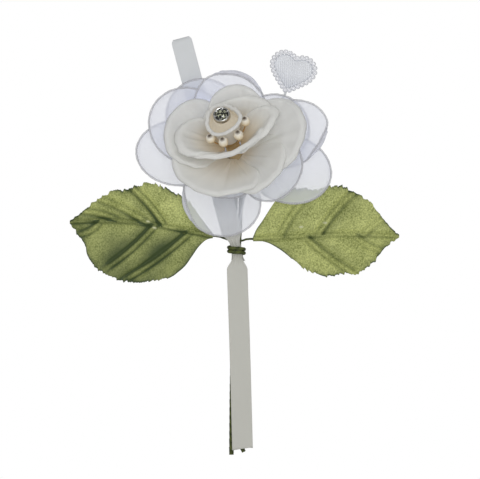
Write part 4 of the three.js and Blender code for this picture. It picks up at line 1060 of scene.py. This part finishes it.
# %% [markdown]
# ## The leaves
# A satin leaf is stamped with hot irons: each side vein is a narrow ridge between two valleys. Painted shade
# darkens the valleys, and a broad painted shade lies on one side beside the midrib and each vein. Its rim is
# torn to uneven teeth and frays. One fine grid takes the outline, the veins and the teeth. The colour rule
# reads how near a point is to a vein or the rim. An outline is pairs of (share of the length, reach from the
# straight middle line). A vein is (its start along the leaf, its end along and across, its strength). bow is
# how far the midrib curves, depth how dark the painted shade in the valleys is, the key after it how dark the
# painted shade on the lower half is, and glue where two drops of glue sit.

# %% Leaf outlines and veins, in millimetres along and across the leaf
LEAF_Y = STEM_Y - 0.6
LEAF_THICK = 0.35
LEAF_FILL = 0.70
TOOTH = 3.8
LEAF_WIRE = 0.5
WIRE_BEHIND = 1.27
LEAVES = {
    "left": {
        "base": (-12.1, -45.1), "tip": (-81.5, -38.3), "wire": -1.5, "bow": 3.0, "depth": 1.0, "painted_low_shade": 0.6,
        "above": [(0, 1), (0.088, 7.5), (0.13, 10.8), (0.19, 15.5), (0.297, 19.3), (0.4, 21.7),
                  (0.49, 22.4), (0.56, 20.6), (0.62, 18.6), (0.7, 17.6), (0.76, 15.2), (0.84, 11.2),
                  (0.9, 7.2), (0.95, 3.4), (1, 0.6)],
        "below": [(0, 1), (0.04, 2), (0.088, 5.5), (0.13, 10.6), (0.172, 15.7), (0.214, 18.9),
                  (0.255, 21.4), (0.339, 23.6), (0.423, 25.2), (0.549, 26.2), (0.633, 25.4), (0.717, 23.4),
                  (0.801, 20.2), (0.842, 16.5), (0.884, 10.9), (0.926, 6.6), (1, 0.6)],
        "veins": [(23.6, 42.2, 19.9, 1.0), (32.0, 57.8, 12.7, 0.7), (45.6, 64.0, 5.6, 0.8),
                  (10.8, 40.5, -25.5, 1.0), (28.3, 49.3, -20.0, 1.0), (54.6, 64.0, -5.6, 0.8)],
        "glue": [(32.0, 3.9), (28.6, 1.2)], "seed": 7,
    },
    "right": {
        "base": (7.3, -46.6), "tip": (78.1, -45.1), "wire": 1.5, "bow": 1.3, "depth": 0.7, "painted_low_shade": 0.0,
        "above": [(0, 1), (0.024, 4.6), (0.065, 8.6), (0.106, 13), (0.147, 17.2), (0.188, 20.8),
                  (0.25, 23.2), (0.33, 24.4), (0.42, 23.2), (0.5, 24.2), (0.6, 25), (0.68, 22.6),
                  (0.76, 18.8), (0.805, 17.2), (0.846, 12.8), (0.9, 8.2), (0.95, 3.6), (1, 0.6)],
        "below": [(0, 1), (0.065, 1.2), (0.106, 2.1), (0.188, 5.6), (0.27, 10.4), (0.352, 15.2),
                  (0.42, 17.2), (0.517, 18.8), (0.6, 17.6), (0.7, 17.8), (0.763, 15.6), (0.846, 10.4),
                  (0.904, 5.4), (1, 0.6)],
        "veins": [(13.0, 25.5, 19.0, 0.7), (31.5, 50.5, 22.5, 1.0), (54.0, 65.5, 9.0, 0.5),
                  (24.6, 50.0, -18.6, 0.9), (48.6, 63.0, -7.5, 0.7)],
        "glue": [(23.4, 5.4), (35.0, 7.1)], "seed": 8,
    },
}


def outline_rule(stations, length):
    """Half the leaf's width as a rule of the share along it."""
    line = smooth_path([(v * length, w, 0) for v, w in stations], 0.3)
    return lambda v: np.interp(v * length, line[:, 0], line[:, 1])


def hump(off, width):
    """A smooth rise that is 1 where off is 0 and fades over the width."""
    return np.exp(-(off / width) ** 2)


def leaf_marks(leaf, s, w, length):
    """The relief (mm towards the front) and the painted shade beside the midrib and the veins."""
    share = s / length
    middle = leaf["bow"] * np.sin(math.pi * np.clip(share, 0, 1) ** 1.2)
    from_middle = w - middle
    relief = 0.35 * hump(from_middle, 0.6) - 0.45 * hump(np.abs(from_middle) - 1.3, 0.7)
    shade = 0.5 * hump(from_middle + 1.0, 0.7) + 0.25 * hump(from_middle - 1.1, 0.6)
    for start, end_s, end_w, strength in leaf["veins"]:
        side = math.copysign(1, end_w)
        start_w = leaf["bow"] * math.sin(math.pi * (start / length) ** 1.2)
        span = np.array([end_s - start, end_w - start_w])
        reach = math.hypot(*span)
        ahead = span / reach
        along = ((s - start) * ahead[0] + (w - start_w) * ahead[1]) / reach
        off = (s - start) * ahead[1] * side - (w - start_w) * ahead[0] * side
        off = off + 1.08 * np.sin(math.pi * np.clip(along, 0, 1))
        ends = np.clip((along + 0.02) / 0.1, 0, 1) * np.clip((1.12 - along) / 0.2, 0, 1)
        held = strength * ends * (w * side > middle * side - 0.4)
        fade = 1 - 0.45 * np.clip(along, 0, 1)
        relief += held * (0.5 * hump(off, 0.8) - 0.75 * hump(np.abs(off) - 1.7, 1.0))
        valleys = 0.95 * fade * hump(off - 1.6, 0.95) + 0.55 * hump(off + 1.5, 0.7)
        shade += held * (valleys + 0.45 * fade * hump(off - 3.6, 2.8))
    return relief, shade


# %% Leaves
for side, leaf in LEAVES.items():
    base, tip = np.array(leaf["base"]), np.array(leaf["tip"])
    length = float(np.linalg.norm(tip - base))
    ahead = (tip - base) / length
    upward = np.array([-ahead[1], ahead[0]]) * math.copysign(1, ahead[0])
    above, below = outline_rule(leaf["above"], length), outline_rule(leaf["below"], length)
    dice = np.random.default_rng(leaf["seed"])
    tooth_phase = dice.uniform(0, 1, 2)
    fray = dice.uniform(-1, 1, (2, 400))
    tooth_size = dice.uniform(0.35, 1.3, (2, 60))

    def rim_distance(v, top):
        """Where the torn rim lies above or below the midrib."""
        k = 0 if top else 1
        plain = (above if top else below)(v)
        step = v * length / TOOTH + tooth_phase[k] + 0.45 * np.sin(v * 31 + k)
        saw = (step % 1) - 0.5
        size = tooth_size[k][step.astype(int) % 60]
        loose = np.interp(v * 399, np.arange(400), fray[k])
        torn = np.clip((v - (0.12 if top else 0.24)) / 0.08, 0, 1) * np.clip((1 - v) / 0.04, 0, 1)
        return plain + torn * (1.5 * saw * size + 0.3 * loose)

    def leaf_flat(u, v):
        across = 2 * u - 1
        w = np.where(across > 0, across * rim_distance(v, True), across * rim_distance(v, False))
        return v * length, w

    def shape_at(s, w):
        """How far behind its plane the leaf lies: arched along it, folded at the midrib, waved at the rim."""
        v = s / length
        arch = -0.9 * np.sin(math.pi * v) + 3.2 * v ** 3
        rim_wave = 0.5 * np.sin(7 * v + np.sign(w)) * np.minimum(1, (w / 20) ** 2)
        return arch + 0.055 * np.abs(w) + rim_wave

    def leaf_place(u, v):
        s, w = leaf_flat(u, v)
        relief, _ = leaf_marks(leaf, s, w, length)
        fold = 0.35 * np.sin(s * 0.35 + w * 0.22) * np.clip(np.abs(w) / 18, 0, 1)
        drop = sum(0.35 * hump(s - a, 0.9) * hump(w - b, 0.55) for a, b in leaf["glue"])
        flat = base + s[:, None] * ahead + w[:, None] * upward
        return np.stack([flat[:, 0], LEAF_Y + shape_at(s, w) - relief - drop + fold, flat[:, 1]], -1)

    # Painted shade in the valleys and beside the veins.
    def painted_vein_shade_mark(u, v):
        s, w = leaf_flat(u, v)
        return leaf["depth"] * leaf_marks(leaf, s, w, length)[1]

    def rim_and_painted_shade_mark(u, v):
        s, w = leaf_flat(u, v)
        rim = np.where(w > 0, rim_distance(v, True), rim_distance(v, False))
        gap = rim - np.abs(w)
        patchy = 0.55 + 0.45 * np.sin(v * 19 + 2 * np.sign(w))
        # Painted shade, darker towards the lower half of the leaf.
        painted_low_shade = leaf["painted_low_shade"] * np.clip(0.5 - w / 14, 0, 1) * (0.8 + 0.2 * np.sin(s * 0.3))
        return (hump(gap, 0.6) + 0.4 * hump(gap, 2.4)) * patchy + painted_low_shade

    def glue_mark(u, v):
        s, w = leaf_flat(u, v)
        return sum(np.exp(-(((s - a) / 0.95) ** 2 + ((w - b) / 0.5) ** 2) ** 2) for a, b in leaf["glue"])

    blade = sculpted(f"satin_leaf_{side}", 120, 170, leaf_place, flat=(4.6, length / 10),
                     marks={"vein": painted_vein_shade_mark, "edge": rim_and_painted_shade_mark, "glue": glue_mark})
    thicken(blade, LEAF_THICK)
    finished(blade, leaf_satin, "leaf_satin", f"{side}_leaf", f"leaf_{side}")
    wide = (max(w for _, w in leaf["above"]) + max(w for _, w in leaf["below"])) * MM
    LEAF_FILL * wide * length * MM

    def behind(share):
        """A place on the wire, behind the leaf's midrib."""
        s = np.array([share * length])
        flat = base + s[:, None] * ahead
        y = LEAF_Y + shape_at(s, np.zeros(1))[0] + WIRE_BEHIND
        return (flat[0, 0], y, flat[0, 1])

    first = np.array([BIND_X + leaf["wire"], WIRE_Y, BIND_Z + 0.7])
    near = np.array([*(base - 3 * ahead), 0])[[0, 2, 1]] + (0, WIRE_Y, 0)
    wire = smooth_path([first, first + (0, 0, 3.4), first + 0.55 * (near - first) + (0, 0, 1.6), near,
                        *(behind(share) for share in (0.06, 0.2, 0.4, 0.6, 0.75))], 0.5)
    taped(f"leaf_wire_{side}_taped", wire, LEAF_WIRE, 12, (0.09, 2.4), tape, "stem_tape", f"{side}_leaf",
          f"leaf_wire_{side}")
    print("leaf", side, round(length, 1), "mm long")

# %% [markdown]
# ## The heart pick
# A small padded heart is covered with ribbed satin, drawn tight over its rim, and edged with a string of
# pearls that touch one another. The heart is one skin from its middle, over the rim to the back's middle.
# A pearl is made once and copied along the rim.

# %% Heart
HEART_WIDTH = 19.4
ROUNDER = 0.4
RIB_PITCH = 1.03


def heart_outline(t, size, outwards=0.0):
    """The heart's rim at turn t: the usual heart curve, rounded by mixing in an egg."""
    def at(a):
        lobe_up = 13 * np.cos(a) - 5 * np.cos(2 * a) - 2 * np.cos(3 * a) - np.cos(4 * a)
        lobes = np.stack([16 * np.sin(a) ** 3, lobe_up], -1)
        egg = np.stack([15 * np.sin(a), 12.5 * np.cos(a) - 1], -1)
        return ((1 - ROUNDER) * lobes + ROUNDER * egg + (0, 2.8)) * size / 31.2
    along = unit(at(t + 0.08) - at(t - 0.08))
    return at(t) + np.stack([-along[..., 1], along[..., 0]], -1) * outwards


def heart_ribs(x, y):
    """The ribs stand upright, whichever way the heart leans."""
    return x * math.cos(HEART_LEAN) - y * math.sin(HEART_LEAN)


def heart_skin(u, v):
    t = 2 * math.pi * u
    front = v < 0.7
    share = np.where(front, v / 0.7, np.where(v < 0.8, 1.0, (1 - v) / 0.2))
    edge = heart_outline(t, HEART_WIDTH) * share[:, None]
    crown = 1.75 * (1 - share ** 2.6)
    depth = np.where(front, -0.55 - crown, 0.0)
    roll = np.clip((v - 0.7) / 0.1, 0, 1)
    depth = np.where(front, depth, -0.55 + roll * 1.45)
    ribs = 0.15 * np.cos(2 * math.pi * heart_ribs(edge[:, 0], edge[:, 1]) / RIB_PITCH)
    fade = np.clip((1 - share) / 0.1, 0, 1) * front
    return from_heart(edge[:, 0], edge[:, 1], depth - ribs * fade)


def rib_mark(u, v):
    """The painted shade between two ribs, deeper low on the heart, and along its rim."""
    t = 2 * math.pi * u
    edge = heart_outline(t, HEART_WIDTH) * np.clip(v / 0.7, 0, 1)[:, None]
    groove = 0.5 - 0.5 * np.cos(2 * math.pi * heart_ribs(edge[:, 0], edge[:, 1]) / RIB_PITCH)
    low = np.clip((-edge[:, 1] - 1) / 8, 0, 1)
    rim = np.clip((v - 0.62) / 0.06, 0, 1)
    return np.maximum(groove * (0.35 + 0.65 * low), rim)


heart = sculpted("heart_satin_pad", 260, 90, heart_skin, flat=(6.4, 1.4), closed=True,
                 marks={"groove": rib_mark})
finished(heart, heart_satin, "heart_satin", "heart_pick", "heart_body")

# %% Pearls
PEARL, SEED_PEARL, PEARL_COUNT = 1.15, 0.5, 28
SEED_INWARDS = 0.885
around = np.linspace(0, 2 * math.pi, 400, endpoint=False)
around = around[np.sin(around / 2) > 0.12]
rim = heart_outline(around, HEART_WIDTH, 1.0)
plain_rim = heart_outline(np.linspace(0, 2 * math.pi, 200), HEART_WIDTH)
clear = np.min(np.linalg.norm(rim[:, None] - plain_rim[None], axis=2), axis=1) > 0.9
rim = np.vstack([rim[clear], rim[clear][:1]])
run = np.concatenate([[0], np.cumsum(np.linalg.norm(np.diff(rim, axis=0), axis=1))])
spots = np.linspace(0, run[-1], PEARL_COUNT, endpoint=False)
between = spots + run[-1] / PEARL_COUNT / 2


def on_rim(places, share, depth):
    """Points at these lengths along the rim, drawn in towards the heart's middle."""
    x, y = (np.interp(places, run, rim[:, k]) * share for k in range(2))
    return from_heart(x, y, depth)


pearls_at = on_rim(spots, 1.0, -0.55)
seeds_at = on_rim(between, SEED_INWARDS, -1.0)


def beads(name, places, radius, segments, rings):
    """One bead, copied to each place and joined."""
    deselect()
    bpy.ops.mesh.primitive_uv_sphere_add(segments=segments, ring_count=rings, radius=radius * MM)
    first = bpy.context.active_object
    first.name = name
    bpy.ops.object.shade_smooth()
    copies = []
    for place in places[1:]:
        copy = bpy.data.objects.new(name + "_copy", first.data.copy())
        scene.collection.objects.link(copy)
        copy.location = place * MM
        copies.append(copy)
    first.location = places[0] * MM
    select_only(first, *copies)
    bpy.ops.object.join()
    bpy.ops.object.transform_apply(location=True, rotation=True, scale=True)
    return first


outer_pearls = beads("heart_pearl_string", pearls_at, PEARL, 14, 10)
seed_pearls = beads("heart_seed_pearls", seeds_at, SEED_PEARL, 10, 7)
select_only(outer_pearls, seed_pearls)
bpy.ops.object.join()
finished(outer_pearls, pearl, "pearl", "heart_pick", "heart_pearls")
print("pearls", PEARL_COUNT)

# %% [markdown]
# ## The felt pad
# The spray is glued to a round of thick felt, cut by hand, and the felt to the clip. Its skin is drawn from
# the middle of one face over the soft cut edge to the middle of the other, a little uneven all over.

# %% Felt pad
PAD_RADIUS, PAD_MIDDLE, PAD_THICK = 15.0, -1.95, 1.5


def pad_skin(u, v):
    turn = 2 * math.pi * u
    share = np.clip((1 - np.abs(2 * v - 1)) * 1.06, 0, 1)
    side = np.sign(v - 0.5)
    swing = np.clip(np.abs(v - 0.5) / 0.03, 0, 1)
    radius = PAD_RADIUS * (1 - 0.012 * np.sin(3 * turn + 1) - 0.006 * np.sin(11 * turn)) * share
    lump = 0.05 * np.sin(radius * 1.9 + 3 * turn) * np.sin(5 * turn - radius)
    half = PAD_THICK / 2 * np.sin(swing * math.pi / 2) - 0.06
    y = PAD_MIDDLE + side * (half + lump * (share < 0.97))
    return np.stack([radius * np.cos(turn), y, radius * np.sin(turn)], -1)


pad = sculpted("felt_round", 96, 80, pad_skin, flat=(9.4, 3.2), closed=True)
finished(pad, felt, "felt", "spray", "felt_pad")

# %% [markdown]
# ## The sprung clip
# The clip's stamped parts already have their true shape in the imported model. Each gets a copy whose doubled
# points are merged and whose sharp edges are rounded by a small bevel, as tumbling in a barrel leaves them.
# The spring is wire wound round the pin, with one leg under the thumb tab.

# %% Clip parts
def tumbled(name, node, width):
    """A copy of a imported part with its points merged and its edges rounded."""
    piece = bpy.data.objects.new(name, nodes[node].data.copy())
    scene.collection.objects.link(piece)
    select_only(piece)
    edit_whole(merge_points)
    rounding = piece.modifiers.new("rounding", "BEVEL")
    rounding.width = width * MM
    rounding.segments = 2
    rounding.limit_method = "ANGLE"
    rounding.angle_limit = math.radians(35)
    bpy.ops.object.modifier_apply(modifier=rounding.name)
    bpy.ops.object.shade_smooth_by_angle(angle=math.radians(40))
    return piece


finished(tumbled("clip_base_plate", "clip_base", 0.16), steel, "clip_steel", "spray", "clip_base")
finished(tumbled("clip_thumb_lever", "clip_lever", 0.14), steel, "clip_steel", "lever", "clip_lever")
finished(tumbled("clip_hinge_pin", "clip_pin", 0.15), steel, "clip_steel", "spray", "clip_pin")

# %% Spring
PIN_X, PIN_Y, COIL = 14.0, 4.2, 1.65
COIL_PITCH, COIL_TURNS, SPRING_RADIUS = 0.95, 3, 0.35
LEG_ANGLE = math.radians(32)
STOPS_A_TURN = 12
LOW_LEG = -(PIN_Y - 0.3 - SPRING_RADIUS - 0.05)
coil_start = -COIL_PITCH * COIL_TURNS / 2
coil_from = LEG_ANGLE + math.pi / 2
coil_turn = 1.5 * math.pi + 2 * math.pi * (COIL_TURNS - 1) - coil_from


def leg(angle, z, reach, drop):
    """A point on a straight leg, reach millimetres from the pin and drop to one side of it."""
    x = PIN_X + math.cos(angle) * reach - math.sin(angle) * drop
    return (x, PIN_Y + math.sin(angle) * reach + math.cos(angle) * drop, z)


spring_stops = [leg(LEG_ANGLE, coil_start, reach, COIL) for reach in (11.5, 6, 2.2)]
for i in range(STOPS_A_TURN * COIL_TURNS + 1):
    share = i / (STOPS_A_TURN * COIL_TURNS)
    angle = coil_from + share * coil_turn
    spring_stops.append((PIN_X + COIL * math.cos(angle), PIN_Y + COIL * math.sin(angle),
                         coil_start + COIL_PITCH * COIL_TURNS * share))
spring_stops += [leg(0, -coil_start, 2.2, -COIL), leg(0, -coil_start, 4.5, -COIL - 0.7),
                 leg(0, -coil_start, 7.5, LOW_LEG)]
spring = skin("clip_torsion_spring", smooth_path(spring_stops, 0.25), SPRING_RADIUS, 12)
finished(spring, steel, "clip_steel", None, "clip_spring")
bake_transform(spring)
print("spring", len(spring_stops), "stops")
